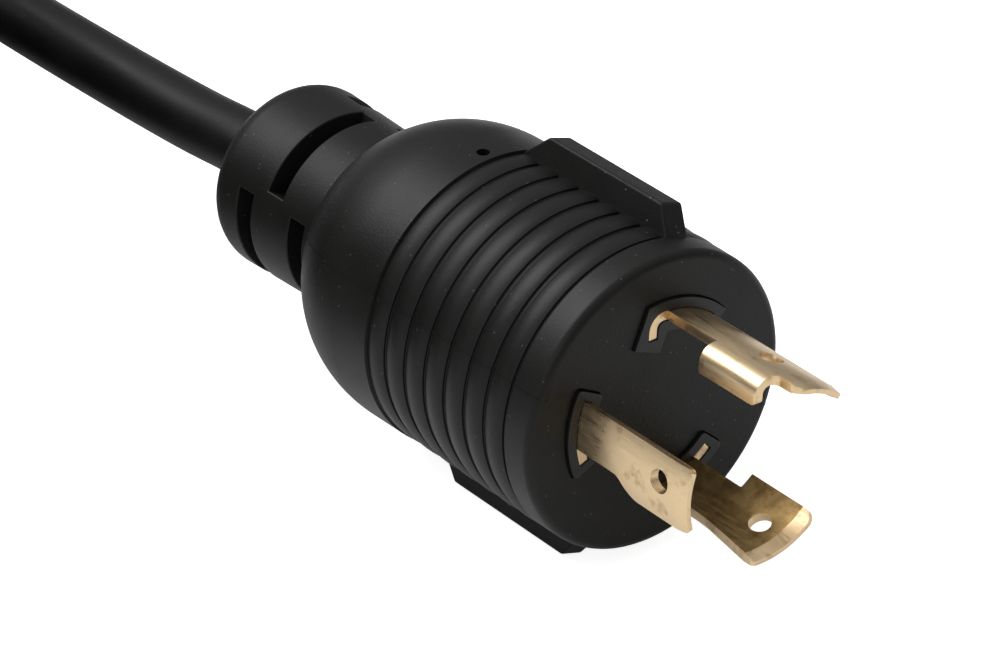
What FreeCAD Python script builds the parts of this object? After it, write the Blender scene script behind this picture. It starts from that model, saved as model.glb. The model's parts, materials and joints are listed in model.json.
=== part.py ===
"""A shore power cord: a moulded locking plug, 7.6 m of round three-core cord and a locking connector.

Millimetres. Row frame: the plug's axis lies along X with its blades towards +X, +Z is up, the floor is
z = 0 and the origin is under the middle of the plug. Both moulded ends are drawn in an end frame of
their own: its Z axis is the axis of the end, z = 0 is the face, blades or slots look along +Z, and +X
points to the plug's first fin. Angles run counter-clockwise seen from the front.
"""
import FreeCAD, Part
import math
import os
import re
import Sketcher
from FreeCAD import Placement, Rotation, Vector

doc = FreeCAD.newDocument("shore_power_cord")
sheet = doc.addObject("Spreadsheet::Sheet", "Sizes")

# Driving sizes: name, value, meaning.
SIZES = [
    ("fit_gap", 0.1, "radial clearance between nested pieces"),
    ("face_radius", 24.4, "flat of the plug's face, inside its rounded edge"),
    ("edge_round", 1.5, "round between the face and the front band"),
    ("rear_radius", 26.34, "widest part of a body, behind its ribs"),
    ("skin", 2.0, "thickness of the face over the blade carrier"),
    ("rib_start", 5.9, "first groove, behind the face"),
    ("rib_pitch", 5.0, "from groove to groove"),
    ("rib_count", 7, "grooves round the plug's grip"),
    ("rib_drop", 0.3, "crest of the ribs below the widest radius"),
    ("rib_crown", 0.35, "height of each rib's rounded crown"),
    ("groove_width", 0.9, "width of each groove"),
    ("groove_depth", 0.8, "depth of each groove"),
    ("dome_behind", 49.15, "widest section of the dome, behind the plug's face"),
    ("dome_length", 20.4, "from the widest section to the lip over the neck"),
    ("dome_bulge", 25.2, "radius of the dome's rounded outline"),
    ("lip_radius", 16.4, "radius of the dome's lip over the neck"),
    ("fin_bearing", 19.1, "clockwise from straight up to the first fin, seen from the front"),
    ("fin_reach", 30.4, "radius of a fin's crest"),
    ("fin_width", 4.9, "width of a fin at its foot"),
    ("fin_draft", 0.15, "how much each side of a fin leans in"),
    ("fin_edge", 0.6, "chamfer along a fin's crest"),
    ("fin_start", 5.6, "front foot of a fin, behind the face"),
    ("fin_end", 40.4, "rear foot of a fin, behind the face"),
    ("fin_front_ramp", 3.0, "length of a fin's front slope"),
    ("fin_rear_ramp", 4.4, "length of a fin's rear slope"),
    ("fin_root", 24.0, "radius at which a fin starts inside the wall"),
    ("gate_behind", 43.3, "small gate hole, behind the face"),
    ("gate_angle", 19.0, "angle of the gate hole"),
    ("gate_bore", 2.4, "width of the gate hole"),
    ("gate_depth", 3.0, "depth of the gate hole"),
    ("neck_radius", 15.9, "strain relief where it leaves the dome"),
    ("collar_radius", 16.65, "strain relief at its rear rim"),
    ("collar_length", 48.4, "from the dome's widest section to the rear of the collar"),
    ("collar_round", 5.0, "round of the collar's rear rim"),
    ("flange_ahead", 1.15, "front of the strain relief, ahead of the dome's widest section"),
    ("flange_radius", 18.0, "flange that locks the strain relief in the body"),
    ("flange_thick", 4.0, "thickness of that flange"),
    ("slot_rows", 3, "rows of flex slots along the collar"),
    ("slot_width", 3.7, "width of the collar's flex slots"),
    ("slot_pitch", 6.75, "from slot to slot along the collar"),
    ("slot_first", 24.2, "centre of the front slot, behind the dome's widest section"),
    ("slot_floor", 12.2, "radius of the floor of the slots"),
    ("slot_sweep", 83.0, "angle that one slot covers"),
    ("slot_angle", 131.0, "middle of a front slot"),
    ("carrier_radius", 20.5, "rigid blade carrier behind the face"),
    ("carrier_depth", 16.0, "rear of the carrier, behind the face"),
    ("boss_rise", 0.6, "bosses of the carrier above the face"),
    ("boss_inner", 13.0, "inner radius of a boss"),
    ("boss_outer", 18.4, "outer radius of a boss"),
    ("boss_margin", 5.7, "angle of a boss past its blade"),
    ("hook_boss_start", 3.5, "ground boss: where its inner edge leaves the arc, before the bend"),
    ("hook_boss_end", 10.0, "ground boss: end of its outer edge, past the bend"),
    ("hook_boss_tip", 2.4, "ground boss: angle of its inner corner, past the bend"),
    ("hook_boss_tip_radius", 9.5, "ground boss: radius of its inner corner"),
    ("hook_boss_far", 26.8, "ground boss: angle of its far corner, past the bend"),
    ("hook_boss_far_radius", 12.6, "ground boss: radius of its far corner"),
    ("window_gap", 0.15, "gap round each boss in the face"),
    ("block_thick", 12.0, "thickness of a terminal block"),
    ("barrel_hole", 3.9, "radius of the holes in a terminal block"),
    ("barrel_place", 13.4, "radius at which those holes lie"),
    ("blade_outer", 16.6, "outer radius of the blades"),
    ("blade_thick", 1.6, "thickness of the blades"),
    ("slot_clear", 0.15, "clearance round a blade in its carrier"),
    ("root_recess", 0.3, "notched root of a blade, below the face"),
    ("line_near", 86.1, "line blade: plain edge"),
    ("line_neck", 115.1, "line blade: notched edge"),
    ("line_wide", 126.5, "line blade: edge of the locking tab"),
    ("line_notch", 10.7, "line blade: length of the notch"),
    ("line_flare", 2.0, "line blade: length of the flare behind the tab"),
    ("line_tip", 26.0, "line blade: tip in front of the face"),
    ("line_hole", 102.0, "line blade: angle of the eyelet"),
    ("neutral_near", 196.0, "neutral blade: plain edge"),
    ("neutral_neck", 230.1, "neutral blade: notched edge"),
    ("neutral_wide", 240.6, "neutral blade: edge of the locking tab"),
    ("neutral_notch", 11.9, "neutral blade: length of the notch"),
    ("neutral_flare", 0.2, "neutral blade: length of the step behind the tab"),
    ("neutral_tip", 26.3, "neutral blade: tip in front of the face"),
    ("neutral_hole", 217.1, "neutral blade: angle of the eyelet"),
    ("ground_near", -23.0, "ground blade: plain edge"),
    ("ground_neck", 13.4, "ground blade: notched edge"),
    ("ground_bend", 16.1, "ground blade: start of the bend to the hook"),
    ("ground_notch", 12.0, "ground blade: length of the notch"),
    ("ground_tab_end", 25.0, "ground blade: front of the hooked tab"),
    ("ground_tip", 30.5, "ground blade: tip in front of the face"),
    ("ground_hole", -2.0, "ground blade: angle of the eyelet"),
    ("hook_bend", 2.8, "outer radius of the ground blade's bend"),
    ("hook_leg", 1.6, "length of the leg past the bend"),
    ("tip_bevel", 2.4, "length of the bevel at a blade's tip"),
    ("tip_thick", 0.8, "thickness left at a blade's tip"),
    ("eyelet", 4.0, "width of the hole through a blade"),
    ("eyelet_place", 19.8, "centre of that hole, in front of the face"),
    ("tongue_length", 4.0, "tongue that joins a blade to its crimp barrel"),
    ("tongue_half", 7.0, "half the angle that the tongue covers"),
    ("barrel_radius", 2.9, "crimp barrel of a blade or contact"),
    ("barrel_length", 12.0, "length of a crimp barrel"),
    ("barrel_gap", 0.2, "gap between the carrier and a barrel"),
    ("barrel_sink", 0.6, "overlap of a barrel and its blade"),
    ("barrel_bottom", 2.0, "solid end of a barrel"),
    ("ground_core", -12.0, "angle of the ground core in the cord"),
    ("line_core", 108.0, "angle of the line core in the cord"),
    ("neutral_core", 228.0, "angle of the neutral core in the cord"),
    ("ground_barrel", -4.0, "angle of the ground crimp"),
    ("line_barrel", 104.0, "angle of the line crimp"),
    ("neutral_barrel", 217.0, "angle of the neutral crimp"),
    ("copper_radius", 1.5, "stranded copper conductor"),
    ("insulation_radius", 2.25, "insulated core"),
    ("core_place", 2.61, "radius at which the cores lie in the cord"),
    ("core_fan", 12.0, "length over which the cores spread from the cord to the crimps"),
    ("strip_length", 5.0, "bare copper behind a barrel"),
    ("core_lead", 2.0, "straight stretch of insulation before the bare copper"),
    ("copper_gap", 0.5, "gap from the copper's end to the bottom of its barrel"),
    ("strand_gap", 0.02, "gap between the copper and its insulation"),
    ("jacket_strip", 8.5, "jacket cut back behind the front of the strain relief"),
    ("cord_diameter", 11.8, "round three-core cord"),
    ("jacket_wall", 0.95, "wall of the cord's jacket"),
    ("connector_shift", 10.0, "how much longer the connector's body is than the plug's"),
    ("connector_rib_start", 34.0, "connector: first groove, behind the face"),
    ("connector_rib_count", 5, "connector: grooves round the grip"),
    ("nose_radius", 23.8, "connector: nose inside the ring"),
    ("nose_length", 26.4, "connector: length of the nose"),
    ("insert_radius", 21.0, "contact insert of the connector"),
    ("insert_depth", 22.0, "depth of that insert"),
    ("insert_lip", 3.0, "face of the insert in front of the contacts"),
    ("entry_clear", 0.35, "clearance round a blade in the connector's face"),
    ("lock_turn", 12.0, "angle that a blade turns to lock"),
    ("contact_thick", 1.0, "thickness of a contact leaf"),
    ("contact_back", 1.2, "thickness of a contact's back"),
    ("contact_gap", 0.4, "gap between a leaf and a blade"),
    ("pocket_gap", 0.2, "gap between a leaf and the insert"),
    ("pocket_ease", 2.0, "angle between the edge of a contact and its pocket"),
    ("retainer_front", 10.0, "front of the ring's retainer, behind the connector's face"),
    ("retainer_thick", 3.0, "thickness of the retainer"),
    ("retainer_radius", 26.6, "radius of the retainer"),
    ("gasket_thick", 2.5, "sealing gasket in front of the retainer"),
    ("gasket_radius", 26.2, "radius of the gasket"),
    ("washer_thick", 1.2, "slip washer between the retainer and the ring's lip"),
    ("slide_gap", 0.3, "running gap along the ring's slide"),
    ("ring_outer", 32.0, "radius of the locking ring"),
    ("ring_edge", 1.0, "chamfer of the ring's outer edges"),
    ("flute_count", 18, "finger flutes round the ring"),
    ("flute_radius", 3.4, "radius of a flute"),
    ("flute_depth", 1.0, "depth of a flute"),
    ("ring_bore", 28.7, "threaded bore of the ring"),
    ("ring_front", 3.5, "front of the ring, ahead of the connector's face"),
    ("ring_lip_bore", 24.4, "bore of the ring's rear lip"),
    ("ring_lip_thick", 3.4, "thickness of the ring's rear lip"),
    ("shoulder_radius", 27.6, "connector's body behind the ring"),
    ("shoulder_round", 1.0, "round of that shoulder"),
    ("shoulder_taper", 4.0, "length of the taper behind the shoulder"),
    ("coil_x", -177.0, "centre of the coil, along the plug's axis"),
    ("coil_y", -108.0, "centre of the coil, across it"),
    ("coil_radius", 98.0, "centre line of the coil's outer turn"),
    ("coil_pitch", 12.3, "from turn to turn, and from layer to layer"),
    ("strap_thick", 1.1, "hook and loop strap round the coil"),
    ("strap_width", 20.0, "width of a strap"),
    ("strap_clear", 0.7, "gap from a strap to the coil"),
    ("strap_round", 5.0, "outer corner round of a strap"),
    ("connector_x", -134.0, "connector's face"),
    ("connector_y", -143.0, "connector's axis"),
]
NAMES = [row[0] for row in SIZES]
for row, (name, value, meaning) in enumerate(SIZES, start=1):
    sheet.set("A%d" % row, meaning)
    sheet.set("B%d" % row, str(value))
    sheet.setAlias("B%d" % row, name)
doc.recompute()

WORD = re.compile(r"[A-Za-z_]\w*")
# In the outlines that cut, + 1 takes the cut 1 mm past the surface.


def size(text):
    """Value of an expression in the sheet's names."""
    return float(sheet.evalExpression(str(text)))


def bound(text):
    """The same expression as another object of the document has to write it."""
    return WORD.sub(lambda word: "Sizes." + word[0] if word[0] in NAMES else word[0], str(text))


def bind(thing, path, text):
    """Bind one property of an object to the sheet."""
    if WORD.search(str(text)):
        thing.setExpression(path, bound(text))


def tie(thing, **properties):
    """Set properties of an object and bind them to the sheet."""
    for name, text in properties.items():
        setattr(thing, name, size(text))
        bind(thing, name, text)


def at(radius, angle):
    """Expressions for the place at a radius and an angle."""
    return "(%s) * cos(%s)" % (radius, angle), "(%s) * sin(%s)" % (radius, angle)


def sector(inner, outer, start, stop):
    """Corners of a ring sector, from angle start up to angle stop."""
    return [at(outer, start) + (outer, 1), at(outer, stop),
            at(inner, stop) + (inner, -1), at(inner, start)]


# Derived places, as expressions.
PLUG_DOME = "-dome_behind"
CONNECTOR_DOME = "-dome_behind - connector_shift"
PLUG_BACK = "-carrier_depth"
CONNECTOR_BACK = "-insert_depth"
BLADE_INNER = "blade_outer - blade_thick"
HOOK_STOP = "ground_bend + asin(hook_bend / blade_outer) / 1 deg"
WASHER_FRONT = "-retainer_front - retainer_thick - slide_gap"
LIP_FRONT = "%s - washer_thick - slide_gap" % WASHER_FRONT
LIP_REAR = "%s - ring_lip_thick" % LIP_FRONT

# Frames of the two ends in the row.
END_TO_ROW = Rotation(Vector(1, 0, 1), 180)
AXIS_HEIGHT = "fin_reach * cos(fin_bearing) + (fin_width / 2 - fin_draft - fin_edge) * sin(fin_bearing)"
FACE_X = "(dome_behind + collar_length - ground_tip) / 2"
axis_height = size(AXIS_HEIGHT)
plug_frame = Placement(Vector(size(FACE_X), 0, axis_height),
                       END_TO_ROW * Rotation(Vector(0, 0, 1), -size("fin_bearing")))
LAYERS = (16, 15, 16, 15)  # quarter turns in each layer of the coil
COIL_TOP = "strap_thick + strap_clear + cord_diameter + %d * coil_pitch" % (len(LAYERS) - 1)
connector_z = size(COIL_TOP + " + ring_outer + slide_gap")
connector_frame = Placement(Vector(size("connector_x"), size("connector_y"), connector_z), END_TO_ROW)
finished = []


def keep(thing, label, frame=Placement()):
    """Name a finished sub-part and put it in its place."""
    thing.Label = label
    thing.Placement = frame
    finished.append(thing)


def new_body(name):
    return doc.addObject("PartDesign::Body", name + "_body")


def sketch_on(body, role, shift="0", turn="0"):
    """An empty sketch on an origin plane, turned round the body's Z axis, then moved out along its
    normal."""
    plane = next(feature for feature in body.Origin.OriginFeatures if feature.Role == role)
    sketch = body.newObject("Sketcher::SketchObject", "outline")
    sketch.AttachmentSupport = (plane, [""])
    sketch.MapMode = "FlatFace"
    upright = Vector(0, 0, 1) if role == "XY_Plane" else Vector(0, 1, 0)
    spin = Rotation(upright, size(turn))
    sketch.AttachmentOffset = Placement(spin.multVec(Vector(0, 0, size(shift))), spin)
    if role == "XY_Plane":
        bind(sketch, "AttachmentOffset.Base.z", shift)
    return sketch


def fix(sketch, index, end, x, y):
    """Hold one point of a sketch at a place given by expressions."""
    for kind, text in (("DistanceX", x), ("DistanceY", y)):
        rule = Sketcher.Constraint(kind, -1, 1, index, end, size(text))
        bind(sketch, "Constraints[%d]" % sketch.addConstraint(rule), text)


def fix_radius(sketch, index, text):
    """Hold the radius of an arc or a circle."""
    rule = Sketcher.Constraint("Radius", index, size(text))
    bind(sketch, "Constraints[%d]" % sketch.addConstraint(rule), text)


def outline(body, role, corners, shift="0", turn="0"):
    """A closed outline. A corner is (x, y), or (x, y, radius, side) where an arc leaves it: side 1
    curves to the left, -1 to the right."""
    sketch = sketch_on(body, role, shift, turn)
    points = [Vector(size(corner[0]), size(corner[1]), 0) for corner in corners]
    ends = []
    for i, corner in enumerate(corners):
        a, b = points[i], points[(i + 1) % len(points)]
        if len(corner) == 2:
            sketch.addGeometry(Part.LineSegment(a, b), False)
            ends.append((1, 2))
            continue
        radius, side = size(corner[2]), corner[3]
        across = Vector(a.y - b.y, b.x - a.x, 0).normalize()
        centre = (a + b) / 2 + across * side * math.sqrt(radius ** 2 - (b - a).Length ** 2 / 4)
        start, stop = (a, b) if side > 0 else (b, a)
        angles = [math.atan2(p.y - centre.y, p.x - centre.x) for p in (start, stop)]
        circle = Part.Circle(centre, Vector(0, 0, 1), radius)
        sketch.addGeometry(Part.ArcOfCircle(circle, *angles), False)
        ends.append((1, 2) if side > 0 else (2, 1))
    for i, corner in enumerate(corners):
        following = (i + 1) % len(corners)
        sketch.addConstraint(
            Sketcher.Constraint("Coincident", i, ends[i][1], following, ends[following][0]))
        fix(sketch, i, ends[i][0], corner[0], corner[1])
        if len(corner) == 4:
            fix_radius(sketch, i, corner[2])
    return sketch


def round_outline(body, role, x, y, radius, shift="0", turn="0"):
    """A circle."""
    sketch = sketch_on(body, role, shift, turn)
    centre = Vector(size(x), size(y), 0)
    sketch.addGeometry(Part.Circle(centre, Vector(0, 0, 1), size(radius)), False)
    fix(sketch, 0, 3, x, y)
    fix_radius(sketch, 0, radius)
    return sketch


def turned(body, kind, corners, sweep="360", turn="0"):
    """Revolution or Groove of an outline of (radius, z) corners. A part turn is centred on the angle
    turn."""
    sketch = outline(body, "XZ_Plane", corners, turn=turn)
    feature = body.newObject("PartDesign::" + kind, kind.lower())
    feature.Profile = sketch
    feature.ReferenceAxis = (sketch, ["V_Axis"])
    feature.Midplane = sweep != "360"
    tie(feature, Angle=sweep)
    return feature


def pushed(kind, sketch, length, forward=True, both=False):
    """Pad or Pocket of a sketch, forward along its normal, or both ways from its plane."""
    body = sketch.getParentGeoFeatureGroup()
    feature = body.newObject("PartDesign::" + kind, kind.lower())
    feature.Profile = sketch
    feature.Reversed = forward == (kind == "Pocket")
    feature.Midplane = both
    tie(feature, Length=length)
    return feature


def repeated(kind, features, **properties):
    """LinearPattern or PolarPattern of features along or round the body's Z axis."""
    body = features[0].getParentGeoFeatureGroup()
    pattern = body.newObject("PartDesign::" + kind, kind.lower())
    pattern.Originals = features
    axis = next(feature for feature in body.Origin.OriginFeatures if feature.Role == "Z_Axis")
    if kind == "LinearPattern":
        pattern.Direction = (axis, [""])
        pattern.Reversed = True
    else:
        pattern.Axis = (axis, [""])
    for name, text in properties.items():
        setattr(pattern, name, int(size(text)) if name == "Occurrences" else size(text))
        bind(pattern, name, text)
    body.Tip = pattern
    return pattern


# Moulded bodies.
def body_outline(nose, dome, pocket_radius, pocket_depth, inside):
    """Section of a moulded body: its nose, the dome, the seat of the strain relief, the cavity and
    the pocket behind the face."""
    lip = "%s - dome_length" % dome
    seat = "%s + flange_ahead - flange_thick" % dome
    return nose + [
        ("rear_radius", dome, "dome_bulge", -1),
        ("lip_radius", lip),
        ("neck_radius + fit_gap", lip),
        ("neck_radius + fit_gap", seat),
        ("flange_radius + fit_gap", seat),
        ("flange_radius + fit_gap", "-(%s)" % pocket_depth),
        ("%s + fit_gap" % pocket_radius, "-(%s)" % pocket_depth),
    ] + inside


def add_ribs(body, start, count):
    """Grooves with a rounded crown between them, cut by a pattern of one groove."""
    crest = "rear_radius - rib_drop"
    crown = "(rib_pitch - groove_width)^2 / (8 * rib_crown) + rib_crown / 2"
    groove = turned(body, "Groove", [
        ("rear_radius + 1", "-%s" % start),
        ("%s - groove_depth" % crest, "-%s" % start),
        ("%s - groove_depth" % crest, "-%s - groove_width" % start),
        ("%s - rib_crown" % crest, "-%s - groove_width" % start, crown, -1),
        ("%s - rib_crown" % crest, "-%s - rib_pitch" % start),
        ("rear_radius + 1", "-%s - rib_pitch" % start),
    ])
    repeated("LinearPattern", [groove], Length="rib_pitch * (%s - 1)" % count, Occurrences=count)


def add_fins(body):
    """Two opposite fins: a drafted bar with chamfered edges, cut to a slope at each end."""
    half = "fin_width / 2"
    crest_half = "fin_width / 2 - fin_draft - fin_edge"
    bar = outline(body, "XY_Plane", [
        ("fin_root", "-(%s)" % half),
        ("fin_reach - fin_edge", "-(%s) + fin_draft" % half),
        ("fin_reach", "-(%s)" % crest_half),
        ("fin_reach", crest_half),
        ("fin_reach - fin_edge", "%s - fin_draft" % half),
        ("fin_root", half),
    ], shift="-fin_end")
    fin = pushed("Pad", bar, "fin_end - fin_start")
    front = outline(body, "XZ_Plane", [
        ("face_radius + edge_round", "-fin_start"),
        ("fin_reach + 1", "-fin_start"),
        ("fin_reach + 1", "-fin_start - fin_front_ramp"),
        ("fin_reach", "-fin_start - fin_front_ramp"),
    ])
    front_slope = pushed("Pocket", front, "fin_width + 1", both=True)
    rear = outline(body, "XZ_Plane", [
        ("rear_radius", "-fin_end"),
        ("fin_reach", "-fin_end + fin_rear_ramp"),
        ("fin_reach + 1", "-fin_end + fin_rear_ramp"),
        ("fin_reach + 1", "-fin_end"),
    ])
    rear_slope = pushed("Pocket", rear, "fin_width + 1", both=True)
    repeated("PolarPattern", [fin, front_slope, rear_slope], Angle="360", Occurrences="2")


def boss_shapes(gap):
    """Outlines of the three bosses that carry the blades, grown by a gap."""
    lean = "%s / boss_inner * 180 / pi" % gap
    shapes = []
    for blade in ("line", "neutral"):
        shapes.append(sector("boss_inner - %s" % gap, "boss_outer + %s" % gap,
                             "%s_near - boss_margin - %s" % (blade, lean),
                             "%s_wide + boss_margin + %s" % (blade, lean)))
    outer, inner = "boss_outer + %s" % gap, "boss_inner - %s" % gap
    shapes.append([
        at(outer, "ground_near - boss_margin - %s" % lean) + (outer, 1),
        at(outer, "ground_bend + hook_boss_end + %s" % lean),
        at("hook_boss_far_radius + %s" % gap, "ground_bend + hook_boss_far + %s" % lean),
        at("hook_boss_tip_radius - %s" % gap, "ground_bend + hook_boss_tip - %s" % lean),
        at(inner, "ground_bend - hook_boss_start - %s" % lean) + (inner, -1),
        at(inner, "ground_near - boss_margin - %s" % lean),
    ])
    return shapes


def blade_slots():
    """Outlines of the slots that hold the roots of the blades."""
    slots = []
    lean = "slot_clear / blade_outer * 180 / pi"
    for blade in ("line", "neutral"):
        slots.append((sector(BLADE_INNER + " - slot_clear", "blade_outer + slot_clear",
                             "%s_near - %s" % (blade, lean), "%s_wide + %s" % (blade, lean)), "0"))
    slots.append((hook_outline("slot_clear"), "ground_bend"))
    return slots


def hook_outline(gap):
    """Section of the ground blade in a frame whose X axis runs through the start of its bend: the
    curved plate, the bend and the leg that turns inwards, all grown by a gap."""
    outer, inner = "(blade_outer + %s)" % gap, "(%s - %s)" % (BLADE_INNER, gap)
    near = "ground_near - ground_bend - %s / blade_outer * 180 / pi" % gap
    centre = "blade_outer - hook_bend"
    bend_out = "hook_bend + %s" % gap
    bend_in = "hook_bend - blade_thick - %s" % gap
    leg_end = "%s - hook_leg - %s" % (centre, gap)
    return [
        at(outer, near) + (outer, 1),
        (outer, "0", bend_out, 1),
        (centre, bend_out),
        (leg_end, bend_out),
        (leg_end, bend_in),
        (centre, bend_in, bend_in, -1),
        (inner, "0", inner, -1),
        at(inner, near),
    ]


def make_plug_moulding():
    body = new_body("plug_moulding")
    nose = [("0", "-skin"), ("0", "0"), ("face_radius", "0", "edge_round", -1),
            ("face_radius + edge_round", "-edge_round")]
    inside = [("carrier_radius + fit_gap", "-skin")]
    section = body_outline(nose, PLUG_DOME, "carrier_radius", "carrier_depth + block_thick", inside)
    turned(body, "Revolution", section)
    add_ribs(body, "rib_start", "rib_count")
    add_fins(body)
    gate = round_outline(body, "YZ_Plane", "0", "-gate_behind", "gate_bore / 2",
                         shift="rear_radius - gate_depth", turn="gate_angle")
    pushed("Pocket", gate, "gate_depth + 1")
    for shape in boss_shapes("window_gap"):
        pushed("Pocket", outline(body, "XY_Plane", shape, shift="-skin - 1"), "skin + 2")
    keep(body, "plug_moulding", plug_frame)


def make_blade_carrier():
    body = new_body("blade_carrier")
    turned(body, "Revolution", [("0", PLUG_BACK), ("carrier_radius", PLUG_BACK),
                                ("carrier_radius", "-skin"), ("0", "-skin")])
    for shape in boss_shapes("0"):
        pushed("Pad", outline(body, "XY_Plane", shape, shift="-skin"), "skin + boss_rise")
    for shape, turn in blade_slots():
        slot = outline(body, "XY_Plane", shape, shift="%s - 1" % PLUG_BACK, turn=turn)
        pushed("Pocket", slot, "carrier_depth + boss_rise + 2")
    keep(body, "blade_carrier", plug_frame)


def make_terminal_block(label, frame, back, radius, side):
    """Block behind a carrier or an insert, with a hole for each crimp barrel."""
    body = new_body(label)
    rear = "%s - block_thick" % back
    turned(body, "Revolution", [("0", rear), (radius, rear), (radius, back), ("0", back)])
    for core in ("ground", "line", "neutral"):
        x, y = at("barrel_place", "%s * %s_barrel" % (side, core))
        hole = round_outline(body, "XY_Plane", x, y, "barrel_hole", shift="%s - 1" % rear)
        pushed("Pocket", hole, "block_thick + 2")
    keep(body, label, frame)


# Blades and contacts.
def add_barrel(body, back, angle, plate):
    """Crimp barrel behind a blade or a contact. plate is the inner radius of what it hangs on."""
    x, y = at("%s - barrel_radius + barrel_sink" % plate, angle)
    rear = "%s - barrel_gap - barrel_length" % back
    barrel = round_outline(body, "XY_Plane", x, y, "barrel_radius", shift=rear)
    pushed("Pad", barrel, "barrel_length")
    bore = round_outline(body, "XY_Plane", x, y, "copper_radius + fit_gap / 2", shift=rear)
    pushed("Pocket", bore, "barrel_length - barrel_bottom")


def make_flat_blade(blade):
    """Line or neutral blade: a piece of tube with a locking notch, a bevelled tip and an eyelet."""
    body = new_body(blade)
    tip = blade + "_tip"
    middle = "(%s_near + %s_wide) / 2" % (blade, blade)
    turned(body, "Revolution", [
        (BLADE_INNER, PLUG_BACK),
        ("blade_outer", PLUG_BACK),
        ("blade_outer", "%s - tip_bevel" % tip),
        ("%s + tip_thick" % BLADE_INNER, tip),
        (BLADE_INNER, tip),
    ], sweep="%s_wide - %s_near" % (blade, blade), turn=middle)
    notch_middle = "(%s_neck + %s_wide) / 2" % (blade, blade)
    half = "blade_outer * sin((%s_wide - %s_neck) / 2)" % (blade, blade)
    notch_end = "%s_notch" % blade
    tab = "%s_notch + %s_flare" % (blade, blade)
    notch = outline(body, "YZ_Plane", [
        ("-(%s)" % half, "-root_recess"),
        ("%s + 1" % half, "-root_recess"),
        ("%s + 1" % half, tab),
        (half, tab),
        ("-(%s)" % half, notch_end),
    ], shift="boss_inner", turn=notch_middle)
    pushed("Pocket", notch, "blade_outer - boss_inner + 1")
    eye = round_outline(body, "YZ_Plane", "0", "eyelet_place", "eyelet / 2", shift="boss_inner",
                        turn="%s_hole" % blade)
    pushed("Pocket", eye, "blade_outer - boss_inner + 1")
    add_tongue(body, "%s_barrel" % blade)
    add_barrel(body, PLUG_BACK, "%s_barrel" % blade, BLADE_INNER)
    keep(body, blade + "_blade", plug_frame)


def add_tongue(body, angle):
    """Narrow tongue that runs from the root of a blade over its barrel."""
    start, stop = "%s - tongue_half" % angle, "%s + tongue_half" % angle
    tongue = outline(body, "XY_Plane", sector(BLADE_INNER, "blade_outer", start, stop),
                     shift="%s - tongue_length" % PLUG_BACK)
    pushed("Pad", tongue, "tongue_length")


def make_ground_blade():
    """Ground blade: a curved plate with a hooked edge, notched behind the tab and narrower ahead."""
    body = new_body("ground")
    plate = outline(body, "XY_Plane", hook_outline("0"), shift=PLUG_BACK, turn="ground_bend")
    pushed("Pad", plate, "carrier_depth + ground_tip")
    neck = "(ground_neck - ground_bend)"
    for start, length, edge in (("-root_recess", "root_recess + ground_notch", neck),
                                ("ground_tab_end", "ground_tip - ground_tab_end + 1", neck + " - 2")):
        hook = outline(body, "XY_Plane", [
            ("boss_inner - 4", "blade_outer * sin(%s)" % edge),
            ("blade_outer + 1", "blade_outer * sin(%s)" % edge),
            ("blade_outer + 1", "hook_bend + 1"),
            ("boss_inner - 4", "hook_bend + 1"),
        ], shift=start, turn="ground_bend")
        pushed("Pocket", hook, length)
    turned(body, "Groove", [
        ("blade_outer", "ground_tip - tip_bevel"),
        ("blade_outer + 1", "ground_tip - tip_bevel"),
        ("blade_outer + 1", "ground_tip + 1"),
        ("%s + tip_thick" % BLADE_INNER, "ground_tip + 1"),
        ("%s + tip_thick" % BLADE_INNER, "ground_tip"),
    ])
    eye = round_outline(body, "YZ_Plane", "0", "eyelet_place", "eyelet / 2", shift="boss_inner",
                        turn="ground_hole")
    pushed("Pocket", eye, "blade_outer - boss_inner + 1")
    add_tongue(body, "ground_barrel")
    add_barrel(body, PLUG_BACK, "ground_barrel", BLADE_INNER)
    keep(body, "ground_blade", plug_frame)


def span(blade, ahead="0", behind="0"):
    """Start and stop angle of a blade in the connector, which is the mirror of the plug."""
    start, stop = blade + "_near", HOOK_STOP if blade == "ground" else blade + "_wide"
    return "-(%s) - (%s)" % (stop, ahead), "-(%s) + (%s)" % (start, behind)


def make_contact_insert():
    """Insert of the connector: entry slots in its face and a pocket behind each for the contact."""
    body = new_body("contact_insert")
    turned(body, "Revolution", [("0", CONNECTOR_BACK), ("insert_radius", CONNECTOR_BACK),
                                ("insert_radius", "0"), ("0", "0")])
    lean = "entry_clear / blade_outer * 180 / pi"
    reach = "(contact_gap + contact_thick + pocket_gap)"
    for blade in ("line", "neutral", "ground"):
        start, stop = span(blade, lean, lean)
        slot = sector(BLADE_INNER + " - entry_clear", "blade_outer + entry_clear", start, stop)
        pushed("Pocket", outline(body, "XY_Plane", slot, shift="-insert_lip - 1"), "insert_lip + 2")
        start, stop = span(blade, "lock_turn", "pocket_ease")
        pocket = sector("%s - %s" % (BLADE_INNER, reach), "blade_outer + %s" % reach, start, stop)
        deep = outline(body, "XY_Plane", pocket, shift="%s - 1" % CONNECTOR_BACK)
        pushed("Pocket", deep, "insert_depth - insert_lip + 1")
    leg = outline(body, "XY_Plane", [
        ("blade_outer - hook_bend - hook_leg - entry_clear", "-hook_bend - entry_clear"),
        ("blade_outer", "-hook_bend - entry_clear"),
        ("blade_outer", "blade_thick - hook_bend + entry_clear"),
        ("blade_outer - hook_bend - hook_leg - entry_clear", "blade_thick - hook_bend + entry_clear"),
    ], shift="-insert_lip - 1", turn="-ground_bend")
    pushed("Pocket", leg, "insert_lip + 2")
    keep(body, "contact_insert", connector_frame)


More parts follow.
